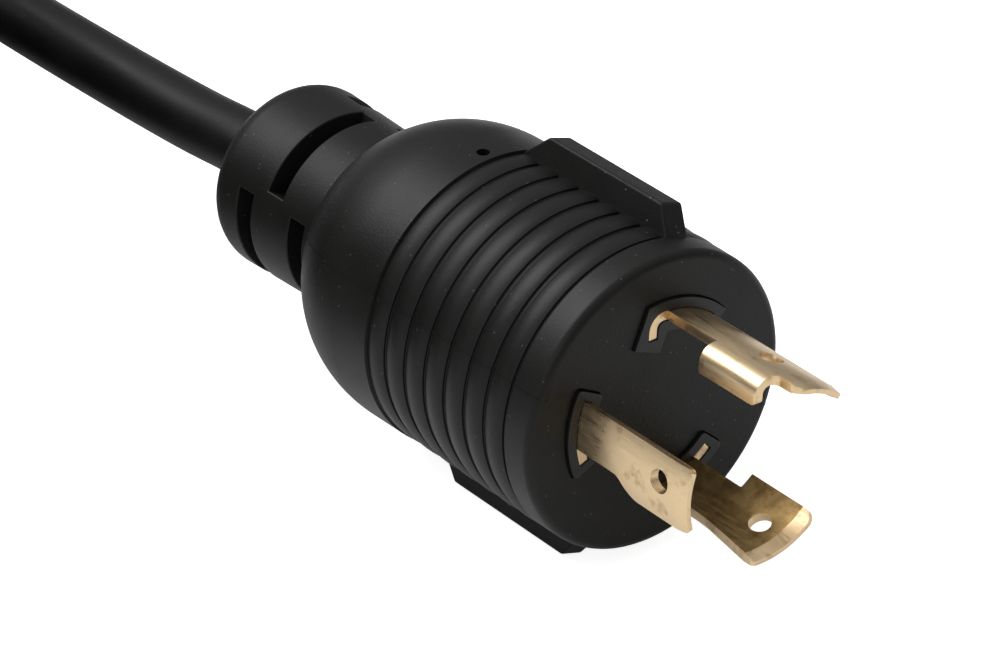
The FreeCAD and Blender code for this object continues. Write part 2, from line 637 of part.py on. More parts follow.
def make_contact(blade):
    """Female contact: two curved leaves on a back, and a crimp barrel."""
    body = new_body(blade + "_contact")
    start, stop = span(blade, "lock_turn - pocket_ease")
    inner, outer = "%s - contact_gap" % BLADE_INNER, "blade_outer + contact_gap"
    front, floor = "-insert_lip - 1", "%s + contact_back" % CONNECTOR_BACK
    turned(body, "Revolution", [
        ("%s - contact_thick" % inner, CONNECTOR_BACK),
        ("%s + contact_thick" % outer, CONNECTOR_BACK),
        ("%s + contact_thick" % outer, front),
        (outer, front),
        (outer, floor),
        (inner, floor),
        (inner, front),
        ("%s - contact_thick" % inner, front),
    ], sweep="(%s) - (%s)" % (stop, start), turn="((%s) + (%s)) / 2" % (start, stop))
    add_barrel(body, "%s + barrel_gap" % CONNECTOR_BACK, "-%s_barrel" % blade, BLADE_INNER)
    keep(body, blade + "_contact", connector_frame)


# Strain reliefs and the cord's end inside them.
def make_strain_relief(label, frame, dome):
    """Sleeve with a flange held in the body and a collar of alternating flex slots."""
    body = new_body(label)
    front, rear = "%s + flange_ahead" % dome, "%s - collar_length" % dome
    bore = "cord_diameter / 2 + fit_gap"
    turned(body, "Revolution", [
        (bore, front),
        ("flange_radius", front),
        ("flange_radius", "%s - flange_thick" % front),
        ("neck_radius", "%s - flange_thick" % front),
        ("neck_radius", "%s - dome_length" % dome),
        ("collar_radius", "%s + collar_round" % rear, "collar_round", -1),
        ("collar_radius - collar_round", rear),
        (bore, rear),
    ])
    for station in range(int(size("slot_rows"))):
        centre = "%s - slot_first - %d * slot_pitch" % (dome, station)
        slot = turned(body, "Groove", [
            ("slot_floor", "%s - slot_width / 2" % centre),
            ("collar_radius + 1", "%s - slot_width / 2" % centre),
            ("collar_radius + 1", "%s + slot_width / 2" % centre),
            ("slot_floor", "%s + slot_width / 2" % centre),
        ], sweep="slot_sweep", turn="slot_angle + %d" % (90 * (station % 2)))
        repeated("PolarPattern", [slot], Angle="360", Occurrences="2")
    keep(body, label, frame)


def make_jacket(label, frame, dome):
    """End of the cord's jacket, inside the strain relief."""
    body = new_body(label)
    front, rear = "%s + flange_ahead - jacket_strip" % dome, "%s - collar_length" % dome
    turned(body, "Revolution", [
        ("cord_diameter / 2 - jacket_wall", rear), ("cord_diameter / 2", rear),
        ("cord_diameter / 2", front), ("cord_diameter / 2 - jacket_wall", front)])
    keep(body, label, frame)


def arc_middle(start, stop, tangent):
    """Middle of the arc that leaves start along a unit tangent and ends at stop."""
    chord = stop - start
    along = chord * (1 / chord.Length)
    bulge = tangent - along * tangent.dot(along)
    if bulge.Length < 1e-9:
        return None
    half_turn = math.acos(max(-1, min(1, tangent.dot(along))))
    return (start + stop) / 2 + bulge.normalize() * (chord.Length / 2 * math.tan(half_turn / 2))


def arc_edge(start, stop, tangent):
    middle = arc_middle(start, stop, tangent)
    if middle is None:
        return Part.LineSegment(start, stop).toShape()
    return Part.Arc(start, middle, stop).toShape()


def rounded_path(points):
    """Straight runs joined by tangent arcs, each as large as its two runs allow, and the radii."""
    edges, radii, here = [], [], points[0]
    for before, corner, after in zip(points, points[1:], points[2:]):
        into, out = (corner - before), (after - corner)
        cut = 0.45 * min(into.Length, out.Length)
        turn = into.getAngle(out)
        radii.append(cut / math.tan(turn / 2))
        into.normalize()
        out.normalize()
        start, stop = corner - into * cut, corner + out * cut
        edges += [Part.LineSegment(here, start).toShape(), arc_edge(start, stop, into)]
        here = stop
    edges.append(Part.LineSegment(here, points[-1]).toShape())
    return Part.Wire(edges), radii


def tube(path, radius, first):
    """Solid round tube along a wire. first is the direction in which the wire starts."""
    ring = Part.Wire([Part.makeCircle(radius, path.Edges[0].Vertexes[0].Point, first)])
    return path.makePipeShell([ring], True, False)


def make_feature(label, shape, frame=Placement()):
    """A sub-part whose shape is worked out here."""
    feature = doc.addObject("Part::Feature", label)
    feature.Shape = shape
    keep(feature, label, frame)


def make_core(end, core, frame, side, dome, back):
    """One conductor with its insulation, from the rear of the collar to the crimp."""
    rear = size("%s - collar_length" % dome)
    mouth = size("%s - barrel_gap - barrel_length" % back)
    x0, y0 = (size(text) for text in at("core_place", "%d * %s_core" % (side, core)))
    x1, y1 = (size(text) for text in at("%s - barrel_radius + barrel_sink" % BLADE_INNER,
                                        "%d * %s_barrel" % (side, core)))
    strip = mouth - size("strip_length")
    spread = strip - size("core_lead")
    tip = mouth + size("barrel_length - barrel_bottom - copper_gap")
    stripped = [Vector(x0, y0, rear), Vector(x0, y0, spread - size("core_fan")),
                Vector(x1, y1, spread), Vector(x1, y1, strip)]
    bare = stripped[:3] + [Vector(x1, y1, tip)]
    ahead = Vector(0, 0, 1)
    copper = tube(rounded_path(bare)[0], size("copper_radius"), ahead)
    sleeve = tube(rounded_path(stripped)[0], size("insulation_radius"), ahead)
    hollow = tube(rounded_path(bare)[0], size("copper_radius + strand_gap"), ahead)
    make_feature("%s_%s_conductor" % (end, core), copper, frame)
    make_feature("%s_%s_insulation" % (end, core), sleeve.cut(hollow), frame)


# The connector's body, ring and seals.
def make_connector_moulding():
    body = new_body("connector_moulding")
    shoulder = "-nose_length"
    nose = [
        ("insert_radius + fit_gap", "0"),
        ("nose_radius - edge_round / 2", "0"),
        ("nose_radius", "-edge_round / 2"),
        ("nose_radius", shoulder),
        ("shoulder_radius - shoulder_round", shoulder, "shoulder_round", -1),
        ("shoulder_radius", "%s - shoulder_round" % shoulder),
        ("rear_radius", "%s - shoulder_round - shoulder_taper" % shoulder),
    ]
    section = body_outline(nose, CONNECTOR_DOME, "insert_radius", "insert_depth + block_thick", [])
    turned(body, "Revolution", section)
    add_ribs(body, "connector_rib_start", "connector_rib_count")
    keep(body, "connector_moulding", connector_frame)


def make_washer(label, inner, outer, front, thick):
    """A plain ring round the connector's nose."""
    body = new_body(label)
    rear = "%s - %s" % (front, thick)
    turned(body, "Revolution", [(inner, rear), (outer, rear), (outer, front), (inner, front)])
    keep(body, label, connector_frame)


def make_locking_ring():
    """Threaded ring that draws the connector onto an inlet: a bore, a rear lip and finger flutes."""
    body = new_body("locking_ring")
    turned(body, "Revolution", [
        ("ring_bore", LIP_FRONT),
        ("ring_bore", "ring_front"),
        ("ring_outer - ring_edge", "ring_front"),
        ("ring_outer", "ring_front - ring_edge"),
        ("ring_outer", "%s + ring_edge" % LIP_REAR),
        ("ring_outer - ring_edge", LIP_REAR),
        ("ring_lip_bore", LIP_REAR),
        ("ring_lip_bore", LIP_FRONT),
    ])
    place = "ring_outer - flute_depth + flute_radius"
    flute = round_outline(body, "XY_Plane", *at(place, "180 / flute_count"), "flute_radius",
                          shift="%s - 1" % LIP_REAR)
    cut = pushed("Pocket", flute, "ring_front - (%s) + 2" % LIP_REAR)
    repeated("PolarPattern", [cut], Angle="360", Occurrences="flute_count")
    keep(body, "locking_ring", connector_frame)


# The cord outside its ends. Its free runs follow points chosen by hand, and its coil a formula.
cord_radius = size("cord_diameter / 2")
coil_floor = size("strap_thick + strap_clear") + cord_radius
pitch = size("coil_pitch")
coil_centre = Vector(size("coil_x"), size("coil_y"), 0)
COIL_START = 180  # angle of the coil's first turn where the cord reaches it
QUARTERS = sum(LAYERS)
REVERSALS = [sum(LAYERS[:i]) for i in range(1, len(LAYERS))]
CLIMB = 1.3  # slope half way up to the next layer, against the mean slope of that half turn


def coil_radius_at(quarter):
    """Radius of the coil after a number of quarter turns: in, out, in and out at a steady rate."""
    radius, inward, start = size("coil_radius"), -1, 0
    for length in LAYERS:
        steps = min(max(quarter - start, 0), length)
        radius += inward * steps * pitch / 4
        start += length
        inward = -inward
    return radius


def coil_point(quarter):
    """Point and direction of the coil after a number of quarter turns."""
    angle = math.radians(COIL_START + 90 * quarter)
    radius = coil_radius_at(quarter)
    layer = sum(quarter > reversal for reversal in REVERSALS)
    climbing = quarter in REVERSALS
    height = coil_floor + pitch * (layer + (0.5 if climbing else 0))
    outward = Vector(math.cos(angle), math.sin(angle), 0)
    around = Vector(-math.sin(angle), math.cos(angle), 0)
    steady = not climbing and 0 < quarter < QUARTERS
    inward = -1 if layer % 2 == 0 else 1
    drift = inward * pitch / (2 * math.pi * radius) if steady else 0
    slope = CLIMB * pitch / (math.pi * radius) if climbing else 0
    direction = around + outward * drift + Vector(0, 0, slope)
    return coil_centre + outward * radius + Vector(0, 0, height), direction.normalize()


def biarc(start, along, stop, onward):
    """Two arcs from start to stop that keep both directions."""
    chord, both = stop - start, along + onward
    a, b, c = 2 * (1 - along.dot(onward)), chord.dot(both), chord.dot(chord)
    reach = (math.sqrt(b * b + a * c) - b) / a
    middle = (start + stop + (along - onward) * reach) / 2
    first, second = arc_middle(start, middle, along), arc_middle(stop, middle, onward * -1)
    return [Part.Arc(start, first, middle).toShape(), Part.Arc(middle, second, stop).toShape()]


def coil_path():
    """One unbroken path with a straight end of one diameter at each side."""
    stations = [coil_point(quarter) for quarter in range(QUARTERS + 1)]
    lead = size("cord_diameter")
    first, last = stations[0], stations[-1]
    edges = [Part.LineSegment(first[0] - first[1] * lead, first[0]).toShape()]
    for here, following in zip(stations, stations[1:]):
        edges += biarc(*here, *following)
    edges.append(Part.LineSegment(last[0], last[0] + last[1] * lead).toShape())
    return Part.Wire(edges), first, last


def self_gap(path, diameter):
    """Least gap of a tube to itself, measured between points of its path."""
    points = path.discretize(Distance=5.0)
    step = path.Length / (len(points) - 1)
    skip = int(2.5 * diameter / step) + 1
    least = diameter * 4
    for i, point in enumerate(points):
        for other in points[i + skip:]:
            if abs(other.x - point.x) < least and abs(other.y - point.y) < least:
                least = min(least, point.distanceToPoint(other))
    return least - diameter


def make_cord():
    coil, entry, leave = coil_path()
    lead = size("cord_diameter")
    exit_x = size("%s - dome_behind - collar_length" % FACE_X)
    coil_in, coil_out = entry[0] - entry[1] * lead, leave[0] + leave[1] * lead
    free_run = [
        Vector(exit_x, 0, axis_height),
        Vector(-73.5, 0, axis_height),
        Vector(-92, 0, 27.2),
        Vector(-150, 0, 25.3),
        Vector(-208.4, 1, 24.5),
        Vector(-242.8, -16, 21),
        Vector(-267.2, -45, 14),
        Vector(-275, -74, 8.6),
        coil_in,
    ]
    end_x = size("connector_x + (%s) - collar_length" % CONNECTOR_DOME)
    connector_y = size("connector_y")
    tail = [
        coil_out,
        Vector(-85.3, -66, 46),
        Vector(-103.5, -38.5, 51),
        Vector(-138, -19.5, 56.5),
        Vector(-177, -13, 60),
        Vector(-222, -16, 63),
        Vector(-271, -27, 68),
        Vector(-299.5, -42.5, 72),
        Vector(-315, -69.5, 76.5),
        Vector(-315, -100.5, 80.3),
        Vector(-299.5, -127.5, 82.4),
        Vector(-273, connector_y, connector_z),
        Vector(end_x, connector_y, connector_z),
    ]
    total = 0
    for label, points in (("cord_free_run", free_run), ("cord_tail", tail)):
        path, radii = rounded_path(points)
        total += path.Length
        print(label, "radii", [round(radius) for radius in radii], "length", round(path.Length, 1))
        solid = tube(path, cord_radius, points[1] - points[0])
        print("  volume by section and length", round(solid.Volume / (math.pi * cord_radius ** 2
                                                                     * path.Length), 4))
        make_feature(label, solid)
    total += coil.Length
    solid = tube(coil, cord_radius, entry[1])
    print("coil length", round(coil.Length, 1), "turns", QUARTERS / 4, "gap to itself",
          round(self_gap(coil, 2 * cord_radius), 2), "volume by section and length",
          round(solid.Volume / (math.pi * cord_radius ** 2 * coil.Length), 4))
    print("cord length", round(total / 1000, 3), "m")
    make_feature("cord_coil", solid)


def make_strap(label, angle):
    """Hook and loop strap round all turns of the coil at one angle of it."""
    first = (angle - COIL_START) / 90
    passes = [coil_radius_at(first + 4 * turn) for turn in range(QUARTERS // 4 + 1)]
    clear = cord_radius + size("strap_clear")
    thick, corner, half_width = size("strap_thick"), size("strap_round"), size("strap_width / 2")
    drift = half_width * pitch / (2 * math.pi * min(passes))
    sag = half_width ** 2 / (2 * min(passes))
    low, high = min(passes) - clear - sag - drift, max(passes) + clear + drift
    top = size(COIL_TOP + " + strap_clear")
    body = new_body(label)
    for kind, grow in (("Pad", thick), ("Pocket", 0)):
        r = corner - thick + grow
        x0, x1, z0, z1 = low - grow, high + grow, thick - grow, top + grow
        band = outline(body, "XZ_Plane", [
            (x0 + r, z0), (x1 - r, z0, r, 1), (x1, z0 + r), (x1, z1 - r, r, 1),
            (x1 - r, z1), (x0 + r, z1, r, 1), (x0, z1 - r), (x0, z0 + r, r, 1)])
        pushed(kind, band, "strap_width" if kind == "Pad" else "strap_width + 2", both=True)
    keep(body, label, Placement(coil_centre, Rotation(Vector(0, 0, 1), angle)))


make_plug_moulding()
make_blade_carrier()
make_terminal_block("plug_terminal_block", plug_frame, PLUG_BACK, "carrier_radius", 1)
make_ground_blade()
make_flat_blade("line")
make_flat_blade("neutral")
make_connector_moulding()
make_contact_insert()
make_terminal_block("connector_terminal_block", connector_frame, CONNECTOR_BACK, "insert_radius", -1)
for blade in ("ground", "line", "neutral"):
    make_contact(blade)
make_washer("sealing_gasket", "nose_radius + fit_gap", "gasket_radius",
            "-retainer_front + gasket_thick", "gasket_thick")
make_washer("ring_retainer", "nose_radius + fit_gap", "retainer_radius", "-retainer_front",
            "retainer_thick")
make_washer("slip_washer", "nose_radius + slide_gap", "ring_bore - slide_gap", WASHER_FRONT,
            "washer_thick")
make_locking_ring()
for end, frame, side, dome, back in (("plug", plug_frame, 1, PLUG_DOME, PLUG_BACK),
                                     ("connector", connector_frame, -1, CONNECTOR_DOME,
                                      CONNECTOR_BACK)):
    make_strain_relief(end + "_strain_relief", frame, dome)
    make_jacket(end + "_jacket_end", frame, dome)
    for core in ("ground", "line", "neutral"):
        make_core(end, core, frame, side, dome, back)
make_cord()
make_strap("coil_strap_front", 360)
make_strap("coil_strap_rear", 180)

# Check every object, then write each sub-part.
doc.recompute()
for thing in doc.Objects:
    faults = [word for word in thing.State if word in ("Invalid", "Error")]
    if faults:
        raise RuntimeError("%s (%s) is %s" % (thing.Name, thing.Label, faults))
os.makedirs("parts", exist_ok=True)
for thing in finished:
    shape = thing.Shape
    if shape.isNull() or not shape.isValid() or not shape.Solids:
        raise RuntimeError("%s has no valid solid" % thing.Label)
    shape.exportStep(os.path.join("parts", thing.Label + ".step"))
    box = shape.BoundBox
    print("%-30s %d solid %9.0f mm3  x %.1f..%.1f y %.1f..%.1f z %.1f..%.1f" % (
        thing.Label, len(shape.Solids), shape.Volume, box.XMin, box.XMax, box.YMin, box.YMax,
        box.ZMin, box.ZMax))
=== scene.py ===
# %% [markdown]
# # A shore power cord
# This cord brings mains power from a campsite post to a caravan. It has a moulded locking plug with
# three curved brass blades, a few metres of round rubbery cord, and a locking connector at the far end.
# The shapes that work were built first as a CAD model, and this lesson dresses them: it loads that model
# as a fixed frame and then makes, one after another, the pieces that the eye rests on.

# %% Load the frame
import json
import math

import bmesh
import bpy
from mathutils import Matrix, Vector


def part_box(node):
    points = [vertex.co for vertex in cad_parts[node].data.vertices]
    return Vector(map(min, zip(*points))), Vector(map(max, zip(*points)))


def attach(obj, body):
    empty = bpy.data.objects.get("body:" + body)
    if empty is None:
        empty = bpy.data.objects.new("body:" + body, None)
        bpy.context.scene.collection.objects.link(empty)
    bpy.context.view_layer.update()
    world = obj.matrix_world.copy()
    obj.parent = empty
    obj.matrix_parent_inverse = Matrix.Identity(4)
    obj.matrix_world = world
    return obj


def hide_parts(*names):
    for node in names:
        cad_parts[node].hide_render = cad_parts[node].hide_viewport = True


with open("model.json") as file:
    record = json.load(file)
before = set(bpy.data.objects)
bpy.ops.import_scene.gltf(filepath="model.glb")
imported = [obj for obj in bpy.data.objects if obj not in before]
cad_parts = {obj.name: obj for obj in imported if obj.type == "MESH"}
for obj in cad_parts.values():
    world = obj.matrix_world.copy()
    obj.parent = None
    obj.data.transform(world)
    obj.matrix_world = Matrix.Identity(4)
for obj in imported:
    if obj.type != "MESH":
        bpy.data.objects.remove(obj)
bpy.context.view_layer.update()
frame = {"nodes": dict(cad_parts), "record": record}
nodes = frame["nodes"]

# %% [markdown]
# ## Where the two ends are
# Both moulded ends are turned parts, so each is easiest to draw about its own axis: Z is the axis, z = 0
# is the face, and the blades or slots look along +Z. All of that drawing is in millimetres. One matrix per
# end then carries the finished mesh to its place in the frame, in metres. The places are read from the
# frame, so the pieces cannot drift away from the parts that carry them.

# %% Places of the ends
MM = 0.001
FIN_BEARING = 19.1  # degrees clockwise from straight up, seen from the front


def middle(node, axis):
    """Middle of a node's box along one axis."""
    low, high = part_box(node)
    return (low[axis] + high[axis]) / 2


def end_matrix(front, node, bearing):
    """From an end's own frame in millimetres to the row frame in metres."""
    face = Vector((front, middle(node, 1), middle(node, 2)))
    half_turn = Matrix.Rotation(math.pi, 4, Vector((1, 0, 1)))
    bearing_turn = Matrix.Rotation(math.radians(-bearing), 4, "Z")
    return Matrix.Translation(face) @ half_turn @ bearing_turn @ Matrix.Scale(MM, 4)


plug_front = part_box("plug_moulding")[1][0]
connector_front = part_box("contact_insert")[1][0]
PLUG = end_matrix(plug_front, "plug_strain_relief", FIN_BEARING)
CONNECTOR = end_matrix(connector_front, "contact_insert", 0)
face_centre = PLUG.translation.copy()
print("plug face", tuple(round(x, 5) for x in face_centre))

# %% [markdown]
# ## The camera
# A product photographer stands well back with a long lens, so the blades in front are hardly larger than
# the body behind. The camera is placed by its direction and distance from the plug's face, and the small
# sideways steps put the face where it lies in the picture.

# %% Camera
AZIMUTH, ELEVATION = 51.058, 31.218
CAMERA_DISTANCE = 0.7501
STEP_RIGHT, STEP_UP = -0.024493, 0.010918
FOCAL_LENGTH, SENSOR_WIDTH = 172.32, 36  # millimetres

turn, lift = math.radians(AZIMUTH), math.radians(ELEVATION)
back = Vector((math.sin(turn) * math.cos(lift), -math.cos(turn) * math.cos(lift), math.sin(lift)))
right = Vector((math.cos(turn), math.sin(turn), 0))
up = back.cross(right)
lens = bpy.data.cameras.new("long_lens")
lens.lens = FOCAL_LENGTH
lens.sensor_width = SENSOR_WIDTH
lens.clip_end = 20
camera = bpy.data.objects.new("camera", lens)
camera.location = face_centre + back * CAMERA_DISTANCE + right * STEP_RIGHT + up * STEP_UP
camera.rotation_euler = Matrix((right, up, back)).transposed().to_euler()
bpy.context.collection.objects.link(camera)
bpy.context.scene.camera = camera
print("camera", tuple(round(x, 4) for x in camera.location))

# %% [markdown]
# ## The cord's route
# A real cord is one unbroken length, so here it is one curve. It leaves the strain relief straight, sags a
# little, comes down to the floor round the outside of its own coil, goes round and round in that tied coil
# and over its top into the connector, which lies on the coil. A spline with few control points gives the
# lazy bends of thick cord. The coil's turns come from a loop, because they follow a rule: each quarter turn
# moves in or out by a quarter of the pitch, and the cord climbs a layer where it turns back. The control
# points of a turn stand a little outside it, at the corners of a polygon that the circle touches, because
# this kind of spline touches the middle of each side. The cord's radius is given at every control point,
# since a curve's own box is grown by the radius that its points hold.

# %% Cord route
CORD_DIAMETER = 0.0118
FREE_RUN = [(-0.064025, 0, 0.029283), (-0.0735, 0, 0.029283), (-0.092, 0, 0.0272),
            (-0.150, 0, 0.0253), (-0.2084, 0.001, 0.0245), (-0.2428, -0.016, 0.021),
            (-0.2672, -0.045, 0.014), (-0.275, -0.074, 0.0086), (-0.275, -0.0962, 0.0077)]
TAIL = [(-0.08515, -0.0962, 0.0446), (-0.0853, -0.066, 0.046), (-0.1035, -0.0385, 0.051),
        (-0.138, -0.0195, 0.0565), (-0.177, -0.013, 0.060), (-0.222, -0.016, 0.063),
        (-0.271, -0.027, 0.068), (-0.2995, -0.0425, 0.072), (-0.315, -0.0695, 0.0765),
        (-0.315, -0.1005, 0.0803), (-0.2995, -0.1275, 0.0824), (-0.273, -0.143, 0.0828),
        (-0.24155, -0.143, 0.0828)]
COIL_CENTRE = Vector((-0.177, -0.108, 0.0077))
COIL_RADIUS = 0.098
COIL_PITCH = 0.0123
COIL_START = 180  # degrees round the coil's centre where its first turn begins
LAYERS = (16, 15, 16, 15)  # quarter turns in each layer
STEPS = 5  # control points in a quarter turn


def coil_radius(quarter):
    """Radius of the coil after a number of quarter turns."""
    radius, start, inward = COIL_RADIUS, 0, -1
    for length in LAYERS:
        radius += inward * min(max(quarter - start, 0), length) * COIL_PITCH / 4
        start += length
        inward = -inward
    return radius


def coil_height(quarter):
    """Height above the lowest layer, with a smooth climb in the half turn round each reversal."""
    height, start = 0, 0
    for length in LAYERS[:-1]:
        start += length
        share = min(max((quarter - start + 1) / 2, 0), 1)
        height += COIL_PITCH * share * share * (3 - 2 * share)
    return height


def coil_points():
    """Control points of all turns."""
    swell = 1 / math.cos(math.pi / 4 / STEPS)
    points = []
    for step in range(sum(LAYERS) * STEPS):
        quarter = (step + 0.5) / STEPS
        angle = math.radians(COIL_START + 90 * quarter)
        out = Vector((math.cos(angle), math.sin(angle), 0)) * coil_radius(quarter) * swell
        points.append(COIL_CENTRE + out + Vector((0, 0, coil_height(quarter))))
    return points


route = [Vector(point) for point in FREE_RUN] + coil_points() + [Vector(point) for point in TAIL]
line = bpy.data.curves.new("cord", "CURVE")
line.dimensions = "3D"
line.resolution_u = 6
line.bevel_depth = 1
line.bevel_resolution = 10
spline = line.splines.new("NURBS")
spline.points.add(len(route) - 1)
for control, place in zip(spline.points, route):
    control.co = (*place, 1)
    control.radius = CORD_DIAMETER / 2
spline.order_u = 3
spline.use_endpoint_u = True
cord = bpy.data.objects.new("cord", line)
bpy.context.collection.objects.link(cord)
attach(cord, "root")
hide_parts("cord_free_run", "cord_coil", "cord_tail")
print("control points", len(route))

# %% [markdown]
# ## Tools of the bench
# Most pieces here are turned or stamped, so a handful of helpers makes them all. `turned` spins an
# outline round the Z axis, as a lathe does. `plate` makes a flat face and rounds its corners. `walls`
# pushes a closed outline straight down, and `cap` fills the space between closed outlines, holes left
# open. `settle` carries a finished bmesh to its place, turns it into an object and ties it to a body.

# %% Bench tools
def arc(start, stop, radius, count, side=1):
    """Points on an arc from start to stop, both left out. side 1 has the centre to the left."""
    a, b = Vector(start), Vector(stop)
    across = Vector((a.y - b.y, b.x - a.x)).normalized() * side
    centre = (a + b) / 2 + across * math.sqrt(radius ** 2 - (b - a).length_squared / 4)
    first = math.atan2(a.y - centre.y, a.x - centre.x)
    sweep = 2 * math.asin((b - a).length / 2 / radius) * side
    angles = [first + sweep * step / count for step in range(1, count)]
    return [(centre.x + radius * math.cos(angle), centre.y + radius * math.sin(angle))
            for angle in angles]


def polar(radius, degrees, z=0):
    """A point at a radius and an angle round the Z axis."""
    angle = math.radians(degrees)
    return Vector((radius * math.cos(angle), radius * math.sin(angle), z))


def turned(points, steps=240, sweep=360, rise=0, closed=False):
    """Spin an outline of (radius, z) points round the Z axis."""
    bm = bmesh.new()
    corners = [bm.verts.new((radius, 0, z)) for radius, z in points]
    edges = [bm.edges.new(pair) for pair in zip(corners, corners[1:])]
    if closed:
        edges.append(bm.edges.new((corners[-1], corners[0])))
    bmesh.ops.spin(bm, geom=corners + edges, cent=(0, 0, 0), axis=(0, 0, 1),
                   dvec=(0, 0, rise / steps), angle=math.radians(sweep), steps=steps,
                   use_merge=sweep == 360)
    bmesh.ops.remove_doubles(bm, verts=bm.verts, dist=1e-5)
    return bm


def soften(bm, edges, width, segments=3):
    """Round some edges."""
    bmesh.ops.bevel(bm, geom=edges, offset=width, offset_type="OFFSET", segments=segments,
                    profile=0.5, affect="EDGES", material=-1, clamp_overlap=True)


def plate(corners):
    """A flat face from (x, y) or (x, y, rounding) corners."""
    bm = bmesh.new()
    verts = [bm.verts.new((corner[0], corner[1], 0)) for corner in corners]
    bm.faces.new(verts)
    for vert, corner in zip(verts, corners):
        if len(corner) == 3:
            bmesh.ops.bevel(bm, geom=[vert], offset=corner[2], offset_type="OFFSET", segments=5,
                            profile=0.5, affect="VERTICES", material=-1, clamp_overlap=False)
    bm.normal_update()
    return bm


def raise_edges(bm, edges, height):
    """Extrude edges upright. Returns all that was made, and its corners."""
    made = bmesh.ops.extrude_edge_only(bm, edges=edges)["geom"]
    verts = [item for item in made if isinstance(item, bmesh.types.BMVert)]
    bmesh.ops.translate(bm, verts=verts, vec=(0, 0, height))
    return made, verts


def walls(bm, points, top, bottom):
    """Upright walls round an outline. Returns its upper and its lower edges."""
    face = bm.faces.new([bm.verts.new((x, y, top)) for x, y in points])
    upper = list(face.edges)
    made, verts = raise_edges(bm, upper, bottom - top)
    lower = [item for item in made if isinstance(item, bmesh.types.BMEdge)
             and item.verts[0] in verts and item.verts[1] in verts]
    bmesh.ops.delete(bm, geom=[face], context="FACES_ONLY")
    return upper, lower


def cap(bm, edges):
    """Fill a flat region between closed outlines."""
    bmesh.ops.triangle_fill(bm, edges=edges, use_beauty=True, normal=(0, 0, 1))


def cut_along(bm, place, normal, clear=False):
    """Cut all faces along a plane, and clear what lies behind it if asked."""
    bmesh.ops.bisect_plane(bm, geom=bm.verts[:] + bm.edges[:] + bm.faces[:], dist=1e-4,
                           plane_co=place, plane_no=normal, clear_inner=clear)


def level_edges(bm, z, radius):
    """Open edges that lie at a height on a circle."""
    def on_ring(vert):
        return abs(vert.co.z - z) < 1e-4 and abs(vert.co.xy.length - radius) < 1e-3
    return [edge for edge in bm.edges if edge.is_boundary and all(map(on_ring, edge.verts))]


def merge(bm, other, place=Matrix()):
    """Add another bmesh to this one."""
    other.transform(place)
    mesh = bpy.data.meshes.new("part")
    other.to_mesh(mesh)
    other.free()
    bm.from_mesh(mesh)
    bpy.data.meshes.remove(mesh)


def carve(bm, cutter):
    """Cut a closed bmesh out of another."""
    shapes = []
    for part in (bm, cutter):
        mesh = bpy.data.meshes.new("part")
        part.to_mesh(mesh)
        part.free()
        shapes.append(bpy.data.objects.new("part", mesh))
        bpy.context.collection.objects.link(shapes[-1])
    cut = shapes[0].modifiers.new("cut", "BOOLEAN")
    cut.operation = "DIFFERENCE"
    cut.object = shapes[1]
    bpy.context.view_layer.update()
    seen = shapes[0].evaluated_get(bpy.context.evaluated_depsgraph_get())
    carved = bmesh.new()
    carved.from_mesh(seen.to_mesh())
    seen.to_mesh_clear()
    for shape in shapes:
        bpy.data.meshes.remove(shape.data)
    return carved


def settle(bm, name, place, material, replaced=(), body="root", sharp=35):
    """Make an object of a bmesh and tie it to its body."""
    bmesh.ops.recalc_face_normals(bm, faces=bm.faces)
    bm.transform(place)
    mesh = bpy.data.meshes.new(name)
    bm.to_mesh(mesh)
    bm.free()
    mesh.shade_smooth()
    mesh.set_sharp_from_angle(angle=math.radians(sharp))
    piece = bpy.data.objects.new(name, mesh)
    bpy.context.collection.objects.link(piece)
    even = piece.modifiers.new("even_shading", "WEIGHTED_NORMAL")
    even.keep_sharp = True
    for finish in material if isinstance(material, (list, tuple)) else [material]:
        mesh.materials.append(finish)
    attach(piece, body)
    if replaced:
        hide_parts(*replaced)
    print(name, "faces", len(mesh.polygons))
    return piece


# %% [markdown]
# ## Finishes
# A material starts from what the real thing is made of. Colours are written as the hex values that a
# picture shows, and one function turns them to the linear values that the renderer mixes. One more
# function adds a node, sets it up and connects it. Patterns are drawn in real millimetres: `per_mm` is the
# scale of a noise whose grains are that many millimetres wide.

# %% Material tools
def linear(code):
    """An sRGB hex colour as linear red, green, blue and alpha."""
    channels = [int(code[i:i + 2], 16) / 255 for i in (1, 3, 5)]
    return [c / 12.92 if c <= 0.04045 else ((c + 0.055) / 1.055) ** 2.4 for c in channels] + [1]


def add_node(tree, kind, inputs=None, **settings):
    """Add a node with its settings. An input is a value, or the socket that feeds it."""
    made = tree.nodes.new("ShaderNode" + kind)
    for name, value in settings.items():
        setattr(made, name, value)
    for name, value in (inputs or {}).items():
        if isinstance(value, bpy.types.NodeSocket):
            tree.links.new(value, made.inputs[name])
        else:
            made.inputs[name].default_value = value
    return made


def new_material(name):
    """An empty node material with its tree, shader and coordinates."""
    material = bpy.data.materials.new(name)
    material.use_nodes = True
    tree = material.node_tree
    shader = tree.nodes["Principled BSDF"]
    place = add_node(tree, "TexCoord").outputs["Object"]
    return material, tree, shader, place


def per_mm(grain):
    """Noise scale in an object measured in metres, for grains of some millimetres."""
    return 1 / (grain * MM)


def blend(tree, factor, first, second):
    """Mix two colours."""
    mix = add_node(tree, "Mix", data_type="RGBA")
    tree.links.new(factor, mix.inputs["Factor"])
    for slot, value in ((6, first), (7, second)):
        if isinstance(value, bpy.types.NodeSocket):
            tree.links.new(value, mix.inputs[slot])
        else:
            mix.inputs[slot].default_value = value
    return mix.outputs[2]


def ramp(tree, value, low, high, to_low=0.0, to_high=1.0):
    """Map a range of one value to another range."""
    mapped = add_node(tree, "MapRange", {"Value": value, "From Min": low, "From Max": high,
                                         "To Min": to_low, "To Max": to_high})
    return mapped.outputs["Result"]


